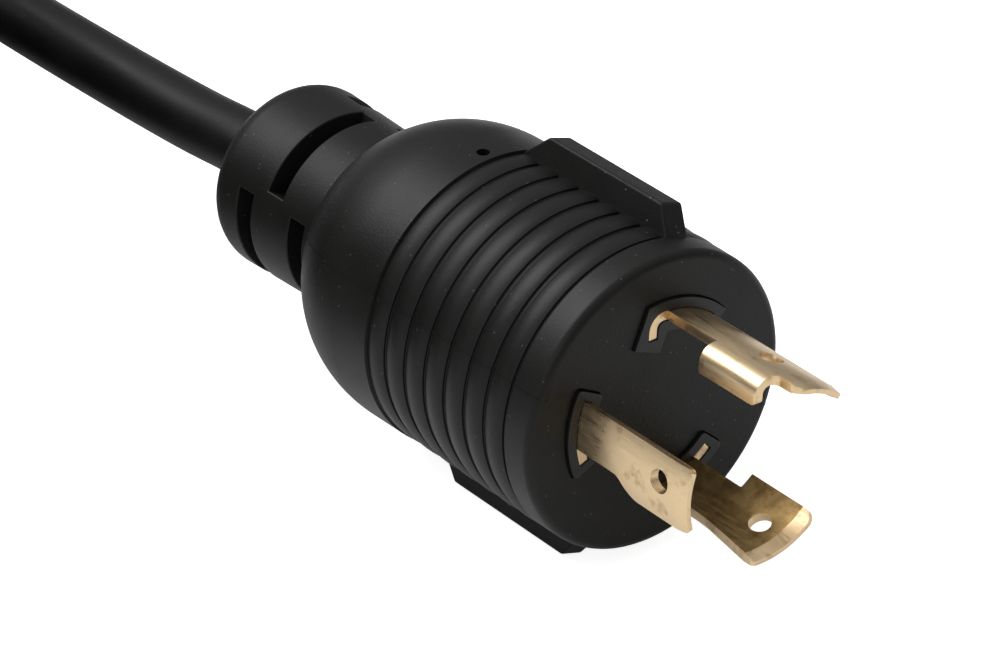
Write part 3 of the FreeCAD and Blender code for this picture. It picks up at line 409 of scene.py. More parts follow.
# %% [markdown]
# ### Soft PVC
# The plug is soft black PVC moulded over a rigid core. The mould was spark eroded, which leaves a fine
# even grain, so the surface looks matte and charcoal rather than black. Handling leaves pale specks of
# dust in the grain. The same recipe serves every moulded piece, with its own grain and gloss.

# %% Moulded PVC
def moulded_pvc(name, colour, roughness, grain, depth, dust=0.0, gloss=0.22):
    """Grained plastic. grain is the width of a grain and depth its height, in millimetres."""
    material, tree, shader, place = new_material(name)
    cloud = add_node(tree, "TexNoise", {"Vector": place, "Scale": per_mm(14), "Detail": 3.0})
    shade = ramp(tree, cloud.outputs["Fac"], 0.3, 0.7, 0.82, 1.18)
    tint = add_node(tree, "Mix", data_type="RGBA", blend_type="MULTIPLY")
    tint.inputs[0].default_value = 1.0
    tint.inputs[6].default_value = linear(colour)
    tree.links.new(shade, tint.inputs[7])
    colour_out = tint.outputs[2]
    if dust:
        specks = add_node(tree, "TexVoronoi", {"Vector": place, "Scale": per_mm(2.2)})
        spot = ramp(tree, specks.outputs["Distance"], 0.05, 0.085, dust, 0.0)
        colour_out = blend(tree, spot, colour_out, linear("#8b8a86"))
    tree.links.new(colour_out, shader.inputs["Base Color"])
    sand = add_node(tree, "TexNoise", {"Vector": place, "Scale": per_mm(grain), "Detail": 2.0,
                                       "Roughness": 0.6})
    uneven = ramp(tree, cloud.outputs["Fac"], 0.3, 0.7, roughness - 0.05, roughness + 0.05)
    tree.links.new(uneven, shader.inputs["Roughness"])
    shader.inputs["Specular IOR Level"].default_value = gloss
    bump = add_node(tree, "Bump", {"Height": sand.outputs["Fac"], "Distance": depth * MM,
                                   "Strength": 1.0})
    tree.links.new(bump.outputs["Normal"], shader.inputs["Normal"])
    return material


BODY_PVC = moulded_pvc("body_pvc", "#121211", 0.42, 0.35, 0.03, 0.2)
GRIP_PVC = moulded_pvc("grip_pvc", "#131312", 0.5, 0.4, 0.06, 0.4)
COLLAR_PVC = moulded_pvc("collar_pvc", "#131312", 0.46, 0.35, 0.03, 0.2)
BOSS_NYLON = moulded_pvc("boss_nylon", "#171717", 0.38, 0.3, 0.01, gloss=0.35)
RING_NYLON = moulded_pvc("ring_nylon", "#181818", 0.4, 0.3, 0.02)
CORD_PVC = moulded_pvc("cord_pvc", "#0e0e0e", 0.46, 1.2, 0.02)
GASKET_RUBBER = moulded_pvc("gasket_rubber", "#262626", 0.7, 0.3, 0.02)

# %% [markdown]
# ### Brass
# The blades are stamped from brass sheet. Rolling leaves fine lines along the blade, and the outlet
# polishes the outer face. The inner face, turned towards the plug's axis, takes a darker copy of the brass
# as painted shade.
# A metal keeps its default index of refraction: its colour and roughness do the work.

# %% Brass
def brass(name, bright, dull, roughness, stain):
    """Worn sheet brass, stained by some share."""
    material, tree, shader, place = new_material(name)
    shader.inputs["Metallic"].default_value = 1.0
    cloud = add_node(tree, "TexNoise", {"Vector": place, "Scale": per_mm(4), "Detail": 6.0,
                                        "Roughness": 0.65})
    patches = ramp(tree, cloud.outputs["Fac"], 0.62 - stain * 0.3, 0.72)
    tree.links.new(blend(tree, patches, linear(bright), linear(dull)), shader.inputs["Base Color"])
    along = add_node(tree, "Mapping", {"Vector": place, "Scale": (0.06, 1, 1)})
    lines = add_node(tree, "TexNoise", {"Vector": along.outputs["Vector"], "Scale": per_mm(0.35),
                                        "Detail": 3.0})
    uneven = ramp(tree, lines.outputs["Fac"], 0.3, 0.7, roughness - 0.08, roughness + 0.1)
    tree.links.new(uneven, shader.inputs["Roughness"])
    bump = add_node(tree, "Bump", {"Height": lines.outputs["Fac"], "Distance": 0.012 * MM})
    tree.links.new(bump.outputs["Normal"], shader.inputs["Normal"])
    return material


BRASS = brass("worn_brass", "#e6cca4", "#b59370", 0.34, 0.22)
# A darker copy of the brass: painted shade for the blades' inner faces.
SHADED_BRASS = brass("shaded_brass", "#d2b077", "#86683d", 0.4, 0.7)

# %% [markdown]
# ## The plug's body
# The grip is one moulding: a flat face with three windows, seven grooves with soft ribs between them, a
# smooth dome, and a lip that closes over the strain relief. It is turned from one outline, outside and
# inside, so that the wall has its real thickness. The outline leaves the face open, and the face is
# filled afterwards, because a lathe cannot cut the windows that the blades' bosses look through.

# %% Outline of a moulded body
RIB_PITCH, RIB_CREST, RIB_CROWN = 5.0, 26.04, 0.35
GROOVE_WIDTH, GROOVE_DEPTH = 0.8, 0.8
REAR_RADIUS, LIP_RADIUS, NECK_RADIUS = 26.34, 16.4, 15.9
DOME_LENGTH, DOME_BULGE = 20.4, 25.2
FLANGE_RADIUS, FLANGE_SEAT = 18.1, -2.85


def rib_outline(start, count, before):
    """Outline of the grooves and of the ribs behind them, front to rear, after a radius before them."""
    lip, side = 0.16, RIB_CREST - RIB_CROWN
    points = []
    for rib in range(count):
        z = -start - rib * RIB_PITCH
        front = z - GROOVE_WIDTH
        rear = z - RIB_PITCH
        points += [(before, z + lip), (before - 0.05, z + lip * 0.3), (before - lip, z),
                   (RIB_CREST - GROOVE_DEPTH + 0.1, z), (RIB_CREST - GROOVE_DEPTH, z - 0.12),
                   (RIB_CREST - GROOVE_DEPTH, front + 0.12),
                   (RIB_CREST - GROOVE_DEPTH + 0.1, front), (side - lip, front),
                   (side - 0.05, front - lip * 0.3), (side, front - lip)]
        length = rear - front + 2 * lip
        crown = length ** 2 / (8 * RIB_CROWN) + RIB_CROWN / 2
        points += arc((side, front - lip), (side, rear + lip), crown, 8, side=-1)
        before = side
    return points


def dome_outline(dome):
    """Outline of the dome and of the lip over the strain relief, front to rear."""
    lip = dome - DOME_LENGTH
    points = [(REAR_RADIUS, dome)]
    points += arc((REAR_RADIUS, dome), (LIP_RADIUS, lip + 0.3), DOME_BULGE, 20, side=-1)
    points += [(LIP_RADIUS, lip + 0.3), (LIP_RADIUS - 0.1, lip + 0.08), (LIP_RADIUS - 0.25, lip),
               (NECK_RADIUS + 0.05, lip), (NECK_RADIUS + 0.05, dome + FLANGE_SEAT),
               (FLANGE_RADIUS, dome + FLANGE_SEAT)]
    return points


PLUG_DOME, CONNECTOR_DOME = -49.15, -59.15
PLUG_RIBS, CONNECTOR_RIBS = (5.9, 7, 25.94), (34.0, 5, 26.34)
PLUG_STEP = [(25.7, -40.75), (26.22, -40.95)]  # from the last rib out to the dome
CONNECTOR_STEP = [(25.7, -58.85), (26.3, -59.05)]

# %% [markdown]
# ### The windows
# Each blade stands in a boss of the rigid carrier inside, and the soft face leaves a window round each
# boss. Two windows are plain sectors of a ring. The third follows the bent ground blade. The same outlines,
# a hair smaller, will make the bosses.

# %% Windows and bosses
BOSS_INNER, BOSS_OUTER = 13.0, 18.4
LINE_EDGES, NEUTRAL_EDGES, GROUND_EDGES = (86.1, 126.5), (196.0, 240.6), (-23.0, 16.1)
BOSS_MARGIN, BOSS_EASE = 5.7, 0.9
WINDOW_GAP = 0.15


def round_run(radius, start, stop, step=3):
    """Points along a circle from one angle to another."""
    count = max(1, round(abs(stop - start) / step))
    return [polar(radius, start + (stop - start) * i / count).xy for i in range(count + 1)]


def eased(start, corner, stop):
    """A soft corner between two points."""
    return [start.lerp(corner, t).lerp(corner.lerp(stop, t), t) for t in (0, 0.25, 0.5, 0.75, 1)]


def sector(inner, outer, start, stop, ease=0.1):
    """Outline of a sector of a ring with soft corners."""
    outline = []
    for radius, first, last, inwards in ((outer, start, stop, -ease), (inner, stop, start, ease)):
        lean = math.degrees(ease / radius) * math.copysign(1, last - first)
        run = round_run(radius, first + lean, last - lean)
        outline += eased(polar(radius + inwards, first).xy, polar(radius, first).xy, run[0])[:-1]
        outline += run
        outline += eased(run[-1], polar(radius, last).xy, polar(radius + inwards, last).xy)[1:]
    return outline


def boss_outlines(gap):
    """Outlines of the three bosses, grown by a gap: line, neutral and ground."""
    lean = math.degrees(gap / BOSS_INNER) + BOSS_MARGIN
    shapes = [sector(BOSS_INNER - gap, BOSS_OUTER + gap, start - lean, stop + lean, BOSS_EASE)
              for start, stop in (LINE_EDGES, NEUTRAL_EDGES)]
    near, bend = GROUND_EDGES
    widen = lean - BOSS_MARGIN
    outer = round_run(BOSS_OUTER + gap, near - lean, bend + 10 + widen)
    hook = [polar(12.6 + gap, bend + 26.8 + widen).xy, polar(9.5 - gap, bend + 2.4 - widen).xy]
    inner = round_run(BOSS_INNER - gap, bend - 3.5 - widen, near - lean)
    shapes.append(outer + hook + inner)
    return shapes


# %% Plug body
SKIN = 2.0
CARRIER_RADIUS, CARRIER_DEPTH, BLOCK_DEPTH = 20.6, 16.0, 28.0
FACE_RADIUS, EDGE_ROUND = 24.4, 1.5


def plug_outline():
    """Outline of the plug's body from the rim of its face round to the back of its skin."""
    points = [(FACE_RADIUS, 0)]
    points += arc((FACE_RADIUS, 0), (FACE_RADIUS + EDGE_ROUND, -EDGE_ROUND), EDGE_ROUND, 6, side=-1)
    points += [(FACE_RADIUS + EDGE_ROUND, -EDGE_ROUND)]
    points += rib_outline(*PLUG_RIBS) + PLUG_STEP + dome_outline(PLUG_DOME)
    points += [(FLANGE_RADIUS, -BLOCK_DEPTH), (CARRIER_RADIUS, -BLOCK_DEPTH), (CARRIER_RADIUS, -SKIN)]
    return points


def plug_body():
    """The moulding, with its face filled round the three windows."""
    bm = turned(plug_outline())
    front, rear = level_edges(bm, 0, FACE_RADIUS), level_edges(bm, -SKIN, CARRIER_RADIUS)
    rims = []
    for shape in boss_outlines(WINDOW_GAP):
        upper, lower = walls(bm, shape, 0, -SKIN)
        rims += upper
        front += upper
        rear += lower
    cap(bm, front)
    cap(bm, rear)
    bmesh.ops.recalc_face_normals(bm, faces=bm.faces)
    soften(bm, rims, 0.12, 2)
    return bm


GATE_PLACE, GATE_WIDTH, GATE_DEPTH = (25.9, 19, -43.3), 2.2, 1.6


def gate_hole():
    """Cutter for the small hole where the plastic was fed in."""
    bm = bmesh.new()
    bmesh.ops.create_cone(bm, cap_ends=True, segments=32, radius1=GATE_WIDTH / 2,
                          radius2=GATE_WIDTH / 2, depth=2 * GATE_DEPTH)
    outwards = polar(1, GATE_PLACE[1]).to_track_quat("Z", "Y").to_matrix().to_4x4()
    bm.transform(Matrix.Translation(polar(*GATE_PLACE)) @ outwards)
    return bm


settle(carve(plug_body(), gate_hole()), "plug_body", PLUG, BODY_PVC,
       ["plug_moulding"])

# %% [markdown]
# Where the two halves of the mould met, a hair of plastic stands up along the body. It follows the same
# outline, turned by less than a degree.

# %% Parting line
PARTING_ANGLE, PARTING_RISE, PARTING_SWEEP = 86.6, 0.1, 0.5


def parting_line():
    """A thin raised strip along the body."""
    outline = [point for point in plug_outline() if point[0] > NECK_RADIUS + 0.5 and point[1] <= 0]
    outline = [point for point in outline[:-2] if point[1] > PLUG_DOME - DOME_LENGTH + 0.4]
    raised = [(radius + PARTING_RISE, z) for radius, z in outline]
    sunk = [(radius - 0.4, z) for radius, z in reversed(outline)]
    bm = turned(raised + sunk, steps=2, sweep=PARTING_SWEEP, closed=True)
    bmesh.ops.holes_fill(bm, edges=[edge for edge in bm.edges if edge.is_boundary], sides=0)
    return bm


ridge = parting_line()
ridge.transform(Matrix.Rotation(math.radians(PARTING_ANGLE), 4, "Z"))
merge(ridge, parting_line(), Matrix.Rotation(math.radians(PARTING_ANGLE + 180), 4, "Z"))
settle(ridge, "plug_parting_line", PLUG, BODY_PVC)

# %% [markdown]
# ### Fins
# Two fins on opposite sides tell the hand where the ground blade is, and stop the plug from rolling. Each
# is a bar with a slope at both ends, set into the ribs. A side view is drawn flat, given its width,
# leaned in a little towards the crest as every moulded bar is, and its edges are rounded.

# %% Fins
FIN_REACH, FIN_ROOT, FIN_WIDTH, FIN_DRAFT = 30.4, 24.6, 4.9, 0.15
FIN_SIDE = [(-5.6, FIN_ROOT), (-5.6, 25.9), (-8.6, FIN_REACH), (-36.0, FIN_REACH),
            (-40.4, 26.3), (-40.4, FIN_ROOT)]


def fin():
    """One fin along the body."""
    bm = plate(FIN_SIDE)
    bmesh.ops.solidify(bm, geom=bm.faces[:], thickness=FIN_WIDTH)
    centre = sum((vert.co.z for vert in bm.verts)) / len(bm.verts)
    bmesh.ops.translate(bm, verts=bm.verts, vec=(0, 0, -centre))
    for vert in bm.verts:
        lean = 1 - 2 * FIN_DRAFT / FIN_WIDTH * (vert.co.y - FIN_ROOT) / (FIN_REACH - FIN_ROOT)
        vert.co.z *= lean
    bmesh.ops.recalc_face_normals(bm, faces=bm.faces)
    above = [edge for edge in bm.edges if all(vert.co.y > FIN_ROOT + 0.5 for vert in edge.verts)]
    soften(bm, above, 0.5, 4)
    bm.transform(Matrix(((0, 1, 0, 0), (0, 0, 1, 0), (1, 0, 0, 0), (0, 0, 0, 1))))
    return bm


both = fin()
merge(both, fin(), Matrix.Rotation(math.pi, 4, "Z"))
settle(both, "plug_fins", PLUG, GRIP_PVC)

# %% [markdown]
# ### Carrier and bosses
# Behind the soft face sits a rigid disc that holds the blades apart. Only its three bosses show, a little
# proud of the face, each with a slot that its blade fills.

# %% Blade carrier
BLADE_OUTER, BLADE_THICK = 16.6, 1.6
BOSS_RISE, SLOT_CLEAR = 0.6, 0.15
HOOK_BEND, HOOK_LEG = 2.8, 1.6


def hook_slot(gap):
    """Outline of the bent ground blade's section, grown by a gap."""
    near, bend = GROUND_EDGES
    outer, inner = BLADE_OUTER + gap, BLADE_OUTER - BLADE_THICK - gap
    lean = math.degrees(gap / BLADE_OUTER)
    turn_back = Matrix.Rotation(math.radians(bend), 2)
    centre = Vector((BLADE_OUTER - HOOK_BEND, 0))
    corner = [centre + Vector(polar(HOOK_BEND + gap, degrees).xy) for degrees in range(0, 91, 15)]
    leg_end = centre.x - HOOK_LEG - gap
    reach, inside = HOOK_BEND + gap, HOOK_BEND - BLADE_THICK - gap
    corner += [Vector((leg_end, reach)), Vector((leg_end, inside))]
    corner += [centre + Vector(polar(inside, degrees).xy) for degrees in range(90, -1, -30)]
    return (round_run(outer, near - lean, bend)[:-1] + [turn_back @ point for point in corner]
            + round_run(inner, bend, near - lean)[1:])


def blade_carrier():
    """The disc with its bosses, and a slot in each for its blade."""
    bm = turned([(CARRIER_RADIUS - 0.1, -SKIN), (CARRIER_RADIUS - 0.1, -CARRIER_DEPTH)])
    floor = level_edges(bm, -CARRIER_DEPTH, CARRIER_RADIUS - 0.1)
    front = level_edges(bm, -SKIN, CARRIER_RADIUS - 0.1)
    lean = math.degrees(SLOT_CLEAR / BLADE_OUTER)
    slots = [sector(BLADE_OUTER - BLADE_THICK - SLOT_CLEAR, BLADE_OUTER + SLOT_CLEAR,
                    start - lean, stop + lean) for start, stop in (LINE_EDGES, NEUTRAL_EDGES)]
    slots.append(hook_slot(SLOT_CLEAR))
    rims = []
    for shape, slot in zip(boss_outlines(0), slots):
        top, foot = walls(bm, shape, BOSS_RISE, -SKIN)
        mouth, end = walls(bm, slot, BOSS_RISE, -CARRIER_DEPTH)
        cap(bm, top + mouth)
        front += foot
        floor += end
        rims += top
    cap(bm, front)
    cap(bm, floor)
    bmesh.ops.recalc_face_normals(bm, faces=bm.faces)
    soften(bm, rims, 0.15, 2)
    return bm


settle(blade_carrier(), "blade_carrier_bosses", PLUG, BOSS_NYLON, ["blade_carrier"])

# %% [markdown]
# ## The blades
# A blade is stamped from sheet brass and then rolled to a curve, and that is also the easiest way to make
# it here. The blank is drawn flat, with its notch, its locking tab and its eyelet, and gets its thickness
# and its worn edges while it is still flat. Only then is every point rolled round the plug's axis. The
# sheet is sliced first into narrow strips, so that it has edges to bend along.

# %% Blade tools
TIP_BEVEL, TIP_THICK = 2.4, 0.8
EYELET, EYELET_PLACE = 4.0, 19.8
WORN_EDGE = 0.22
SHOULDER = 0.4  # height of the wide foot, which ends just inside its boss
SEAT, TANG = -CARRIER_DEPTH, -CARRIER_DEPTH - 4  # ends of the foot and of the tang for the barrel
LINE_TIP, NEUTRAL_TIP, GROUND_TIP = 26.0, 26.3, 30.5


def blank(corners, eye_angle, tip):
    """Flat blade: x runs round the plug in millimetres on the outer face, y along it, z out of it."""
    bm = plate(corners)
    eye = Matrix.Translation((math.radians(eye_angle) * BLADE_OUTER, EYELET_PLACE, 0))
    bmesh.ops.create_circle(bm, segments=40, radius=EYELET / 2, matrix=eye)
    bmesh.ops.delete(bm, geom=bm.faces[:], context="FACES_ONLY")
    cap(bm, bm.edges[:])
    low = min(vert.co.x for vert in bm.verts)
    high = max(vert.co.x for vert in bm.verts)
    count = int((high - low) / 0.45)
    for cut in range(1, count):
        cut_along(bm, (low + (high - low) * cut / count, 0, 0), (1, 0, 0))
    cut_along(bm, (0, tip - TIP_BEVEL, 0), (0, 1, 0))
    bmesh.ops.solidify(bm, geom=bm.faces[:], thickness=BLADE_THICK)
    top = max(vert.co.z for vert in bm.verts)
    bmesh.ops.translate(bm, verts=bm.verts, vec=(0, 0, -top))
    bmesh.ops.recalc_face_normals(bm, faces=bm.faces)
    rims = [edge for edge in bm.edges if edge.is_manifold and edge.calc_face_angle() > 1]
    soften(bm, rims, WORN_EDGE, 3)
    for vert in bm.verts:
        share = (vert.co.y - tip + TIP_BEVEL) / TIP_BEVEL
        if share > 0:
            core = -BLADE_THICK / 2
            thin = 1 - (1 - TIP_THICK / BLADE_THICK) * share
            vert.co.z = core + (vert.co.z - core) * thin
    return bm


def roll(bm, bend=None):
    """Roll a blank round the plug's axis, and past bend, in degrees, round its own small corner."""
    limit = math.radians(bend) * BLADE_OUTER if bend is not None else math.inf
    quarter = math.pi / 2 * HOOK_BEND
    for vert in bm.verts:
        x, y, z = vert.co
        if x <= limit:
            vert.co = polar(BLADE_OUTER + z, math.degrees(x / BLADE_OUTER), y)
            continue
        past = x - limit
        phi = min(past / HOOK_BEND, math.pi / 2)
        flat = Vector((BLADE_OUTER - HOOK_BEND + (HOOK_BEND + z) * math.cos(phi),
                       (HOOK_BEND + z) * math.sin(phi)))
        flat.x -= max(past - quarter, 0)
        flat.rotate(Matrix.Rotation(math.radians(bend), 2))
        vert.co = (flat.x, flat.y, y)
    return bm


def crimp_barrel(angle):
    """Barrel that is crimped onto the wire, behind the blade."""
    bm = turned([(0, -2.2), (1.55, -2.2), (1.55, -12.2), (2.9, -12.2), (2.9, -0.2), (0, -0.2)], 24)
    bm.transform(Matrix.Translation(polar(12.7, angle, -CARRIER_DEPTH)))
    return bm


def on_sheet(degrees):
    """Distance round the outer face for an angle."""
    return math.radians(degrees) * BLADE_OUTER


# %% Line and neutral blades
def sheet_corners(rows):
    """Corners with the angle turned into a distance on the sheet."""
    return [(on_sheet(row[0]), *row[1:]) for row in rows]


line_near, line_far = LINE_EDGES
neutral_near, neutral_far = NEUTRAL_EDGES
LINE = sheet_corners([
    (line_near, LINE_TIP, 0.9), (line_near, SEAT), (97, SEAT), (97, TANG), (111, TANG), (111, SEAT),
    (line_far, SEAT), (line_far, SHOULDER), (115.1, SHOULDER), (115.1, 10.2, 1.2), (121.4, 11.3, 1.2),
    (126.2, 13.6, 0.8), (line_far, LINE_TIP, 0.9)])
NEUTRAL = sheet_corners([
    (189.8, NEUTRAL_TIP, 0.8), (196.1, 16.5, 2.0), (198.6, 12.0, 2.0), (198.6, SHOULDER),
    (neutral_near, SHOULDER), (neutral_near, SEAT), (210, SEAT), (210, TANG), (224, TANG), (224, SEAT),
    (neutral_far, SEAT), (neutral_far, SHOULDER), (230.1, SHOULDER), (230.1, 11.8, 0.2),
    (neutral_far, 11.9, 0.2), (neutral_far, NEUTRAL_TIP, 2.2)])


def finish_blade(name, corners, eye_angle, tip, barrel_angle, bend=None):
    """Roll a blank, paint shade on its inner face with the darker brass, and add its barrel."""
    bm = roll(blank(corners, eye_angle, tip), bend)
    bmesh.ops.recalc_face_normals(bm, faces=bm.faces)
    # Faces turned towards the axis take the darker brass: painted shade.
    for face in bm.faces:
        place = face.calc_center_median()
        inwards = face.normal.xy.dot(place.xy.normalized()) < -0.8
        if inwards and place.z < tip - TIP_BEVEL:
            face.material_index = 1
    merge(bm, crimp_barrel(barrel_angle))
    settle(bm, name + "_blade_rolled", PLUG, [BRASS, SHADED_BRASS], [name + "_blade"])


finish_blade("line", LINE, eye_angle=102.0, tip=LINE_TIP, barrel_angle=104)
finish_blade("neutral", NEUTRAL, eye_angle=217.1, tip=NEUTRAL_TIP, barrel_angle=217)

# %% Ground blade
ground_near, ground_bend = GROUND_EDGES
LEG_END = on_sheet(ground_bend) + math.pi / 2 * HOOK_BEND + HOOK_LEG
NEAR, NECK_EDGE, NOSE_EDGE = on_sheet(ground_near), on_sheet(13.4), on_sheet(11.4)
TAB_REAR, TAB_FRONT = 12.0, 25.0
GROUND = [
    (NEAR, GROUND_TIP, 0.5), (NEAR, SEAT), (on_sheet(-11), SEAT), (on_sheet(-11), TANG),
    (on_sheet(3), TANG), (on_sheet(3), SEAT), (LEG_END, SEAT), (LEG_END, SHOULDER),
    (NECK_EDGE, SHOULDER), (NECK_EDGE, TAB_REAR), (LEG_END, TAB_REAR, 0.5), (LEG_END, TAB_FRONT, 0.8),
    (NOSE_EDGE, TAB_FRONT, 1.3), (NOSE_EDGE, 28.9, 0.4), (on_sheet(7), GROUND_TIP, 0.4)]
finish_blade("ground", GROUND, eye_angle=-2.0, tip=GROUND_TIP, barrel_angle=-4, bend=ground_bend)

# %% [markdown]
# ## Strain relief
# Where thick cord leaves a rigid plug, a sleeve with staggered slots lets it bend in a gentle curve. The
# sleeve is turned with a ring of edges at each side of a slot. The faces between them, over part of the
# circle, are then pushed in to the slot's floor, and the rim is rounded as rubber always is.

# %% Strain relief
SLOT_ROWS, SLOT_WIDTH, SLOT_PITCH, SLOT_FIRST = 3, 3.7, 6.75, 24.2
SLOT_FLOOR, SLOT_SWEEP, SLOT_ANGLE = 12.2, 83, 131
COLLAR_RADIUS, COLLAR_LENGTH, COLLAR_ROUND = 16.65, 48.4, 5.0
SLEEVE_BORE, FLANGE_FRONT = 6.0, 1.15


def slot_edge(dome, row, side):
    """Height of a slot's rear edge, side -1, or front edge, side 1."""
    return dome - SLOT_FIRST - row * SLOT_PITCH + side * SLOT_WIDTH / 2


def sleeve_outline(dome):
    """Outline of the sleeve with a ring at each slot's edge."""
    front, rear = dome + FLANGE_FRONT, dome - COLLAR_LENGTH
    start = Vector((NECK_RADIUS, dome - DOME_LENGTH))
    stop = Vector((COLLAR_RADIUS, rear + COLLAR_ROUND))
    points = [(SLEEVE_BORE, front), (FLANGE_RADIUS - 0.1, front),
              (FLANGE_RADIUS - 0.1, dome + FLANGE_SEAT), (NECK_RADIUS, dome + FLANGE_SEAT),
              tuple(start)]
    for row in range(SLOT_ROWS):
        for side in (1, -1):
            z = slot_edge(dome, row, side)
            points.append((start.lerp(stop, (z - start.y) / (stop.y - start.y)).x, z))
    end = (COLLAR_RADIUS - COLLAR_ROUND, rear)
    return points + [tuple(stop)] + arc(stop, end, COLLAR_ROUND, 10, side=-1) + [end, (SLEEVE_BORE, rear)]


def strain_relief(dome):
    """The sleeve with its slots pushed in."""
    bm = turned(sleeve_outline(dome), steps=360, closed=True)
    bm.transform(Matrix.Rotation(math.radians(0.5), 4, "Z"))
    rims = []
    for row in range(SLOT_ROWS):
        low, high = slot_edge(dome, row, -1), slot_edge(dome, row, 1)
        for half in (0, 180):
            centre = SLOT_ANGLE + 90 * (row % 2) + half
            faces = []
            for face in bm.faces:
                place = face.calc_center_median()
                away = (math.degrees(math.atan2(place.y, place.x)) - centre + 180) % 360 - 180
                if low < place.z < high and place.xy.length > NECK_RADIUS - 0.5 \
                        and abs(away) < SLOT_SWEEP / 2:
                    faces.append(face)
            inside = set(faces)
            rims += [edge for face in faces for edge in face.edges
                     if not all(neighbour in inside for neighbour in edge.link_faces)]
            made = bmesh.ops.extrude_face_region(bm, geom=faces)["geom"]
            bmesh.ops.delete(bm, geom=faces, context="FACES_ONLY")
            for vert in made:
                if isinstance(vert, bmesh.types.BMVert):
                    vert.co.xy = vert.co.xy.normalized() * SLOT_FLOOR
    bmesh.ops.recalc_face_normals(bm, faces=bm.faces)
    soften(bm, [edge for edge in set(rims) if edge.is_valid], 0.35, 3)
    return bm


settle(strain_relief(PLUG_DOME), "plug_flex_sleeve", PLUG, COLLAR_PVC,
       ["plug_strain_relief"])

# %% [markdown]
# ## The connector
# The far end is the plug's partner. Its body shares the ribs, the dome and the strain relief, so the same
# outlines serve again, one centimetre longer. In front is a bare nose for the locking ring to ride on.

# %% Connector body
NOSE = [(21.1, 0), (23.05, 0), (23.55, -0.2), (23.8, -0.75), (23.8, -26.4), (26.6, -26.4),
        (27.3, -26.69), (27.6, -27.4), (26.34, -31.4)]


def connector_body():
    """The moulding with its bare nose."""
    inside = [(FLANGE_RADIUS, -34), (21.1, -34)]
    ribs = rib_outline(*CONNECTOR_RIBS) + CONNECTOR_STEP
    return turned(NOSE + ribs + dome_outline(CONNECTOR_DOME) + inside, closed=True)


connector_pieces = [
    settle(connector_body(), "connector_body", CONNECTOR, BODY_PVC,
           ["connector_moulding"]),
    settle(strain_relief(CONNECTOR_DOME), "connector_flex_sleeve", CONNECTOR,
           COLLAR_PVC, ["connector_strain_relief"])]

# %% [markdown]
# ### Locking ring
# The ring is turned with its rear lip, then its outside is pressed in at eighteen places to give fingers
# a hold. A coarse thread winds through the bore: a small triangle that climbs as it is spun.

# %% Locking ring
FLUTES, FLUTE_RADIUS, FLUTE_PLACE = 18, 3.4, 34.4
RING_OUTLINE = [(28.7, -14.8), (28.7, 3.1), (29.1, 3.5), (31.2, 3.5), (31.75, 3.2), (32, 2.6),
                (32, -17.3), (31.75, -17.95), (31.2, -18.2), (24.8, -18.2), (24.4, -17.8),
                (24.4, -14.8)]
THREAD = [(28.75, -0.7), (27.9, -0.12), (27.9, 0.12), (28.75, 0.7)]
THREAD_TURNS, THREAD_PITCH, THREAD_START = 3.5, 2.5, 2.0


def locking_ring():
    """The fluted ring with the thread in its bore."""
    bm = turned(RING_OUTLINE, steps=360, closed=True)
    share = 2 * math.pi / FLUTES
    for vert in bm.verts:
        radius = vert.co.xy.length
        angle = math.atan2(vert.co.y, vert.co.x)
        away = (angle % share) - share / 2
        across = FLUTE_PLACE * math.sin(away)
        if radius > 29 and abs(across) < FLUTE_RADIUS:
            pressed = FLUTE_PLACE * math.cos(away) - math.sqrt(FLUTE_RADIUS ** 2 - across ** 2)
            vert.co.xy *= min(radius, pressed) / radius
    thread = turned(THREAD, steps=int(72 * THREAD_TURNS), sweep=360 * THREAD_TURNS,
                    rise=-THREAD_TURNS * THREAD_PITCH, closed=True)
    ends = [edge for edge in thread.edges if edge.is_boundary]
    bmesh.ops.holes_fill(thread, edges=ends, sides=0)
    merge(bm, thread, Matrix.Translation((0, 0, THREAD_START)))
    return bm


connector_pieces.append(settle(locking_ring(), "locking_ring_fluted", CONNECTOR,
                               RING_NYLON, ["locking_ring"], body="ring"))

# %% [markdown]
# ## Straps
# Two hook and loop straps hold the coil together for storage. Each goes once round the section of the
# coil and laps over itself on the outside.

# %% Straps
STRAP_THICK, STRAP_WIDTH, STRAP_CLEAR, STRAP_ROUND = 1.1, 20.0, 0.7, 5.0
LAP_ACROSS, LAP_DOWN = 0.3, 0.35  # where the lap starts across the top, and ends above the floor


def woven_tape():
    """Nylon tape, dull and slightly fuzzy, with a weave that repeats every six millimetres."""
    material, tree, shader, place = new_material("woven_tape")
    along = add_node(tree, "Mapping", {"Vector": place, "Rotation": (0, 0, math.radians(45))})
    threads = []
    for direction in ("X", "Y"):
        wave = add_node(tree, "TexWave", {"Vector": along.outputs["Vector"],
                                          "Scale": per_mm(1.0) / 20}, bands_direction=direction)
        threads.append(wave.outputs["Fac"])
    weave = add_node(tree, "Math", {0: threads[0], 1: threads[1]}, operation="ADD")
    shade = ramp(tree, weave.outputs["Value"], 0.0, 2.0)
    tree.links.new(blend(tree, shade, linear("#0f0f10"), linear("#232325")),
                   shader.inputs["Base Color"])
    shader.inputs["Roughness"].default_value = 0.85
    bump = add_node(tree, "Bump", {"Height": weave.outputs["Value"], "Distance": 0.15 * MM})
    tree.links.new(bump.outputs["Normal"], shader.inputs["Normal"])
    return material


def band(low, high, foot, top, rounding):
    """Upright wall of a strap: a rounded rectangle, as wide as the strap."""
    bm = plate([(low, foot, rounding), (high, foot, rounding), (high, top, rounding),
                (low, top, rounding)])
    raise_edges(bm, bm.edges[:], STRAP_WIDTH)
    bmesh.ops.delete(bm, geom=[face for face in bm.faces if abs(face.normal.z) > 0.9],
                     context="FACES_ONLY")
    return bm


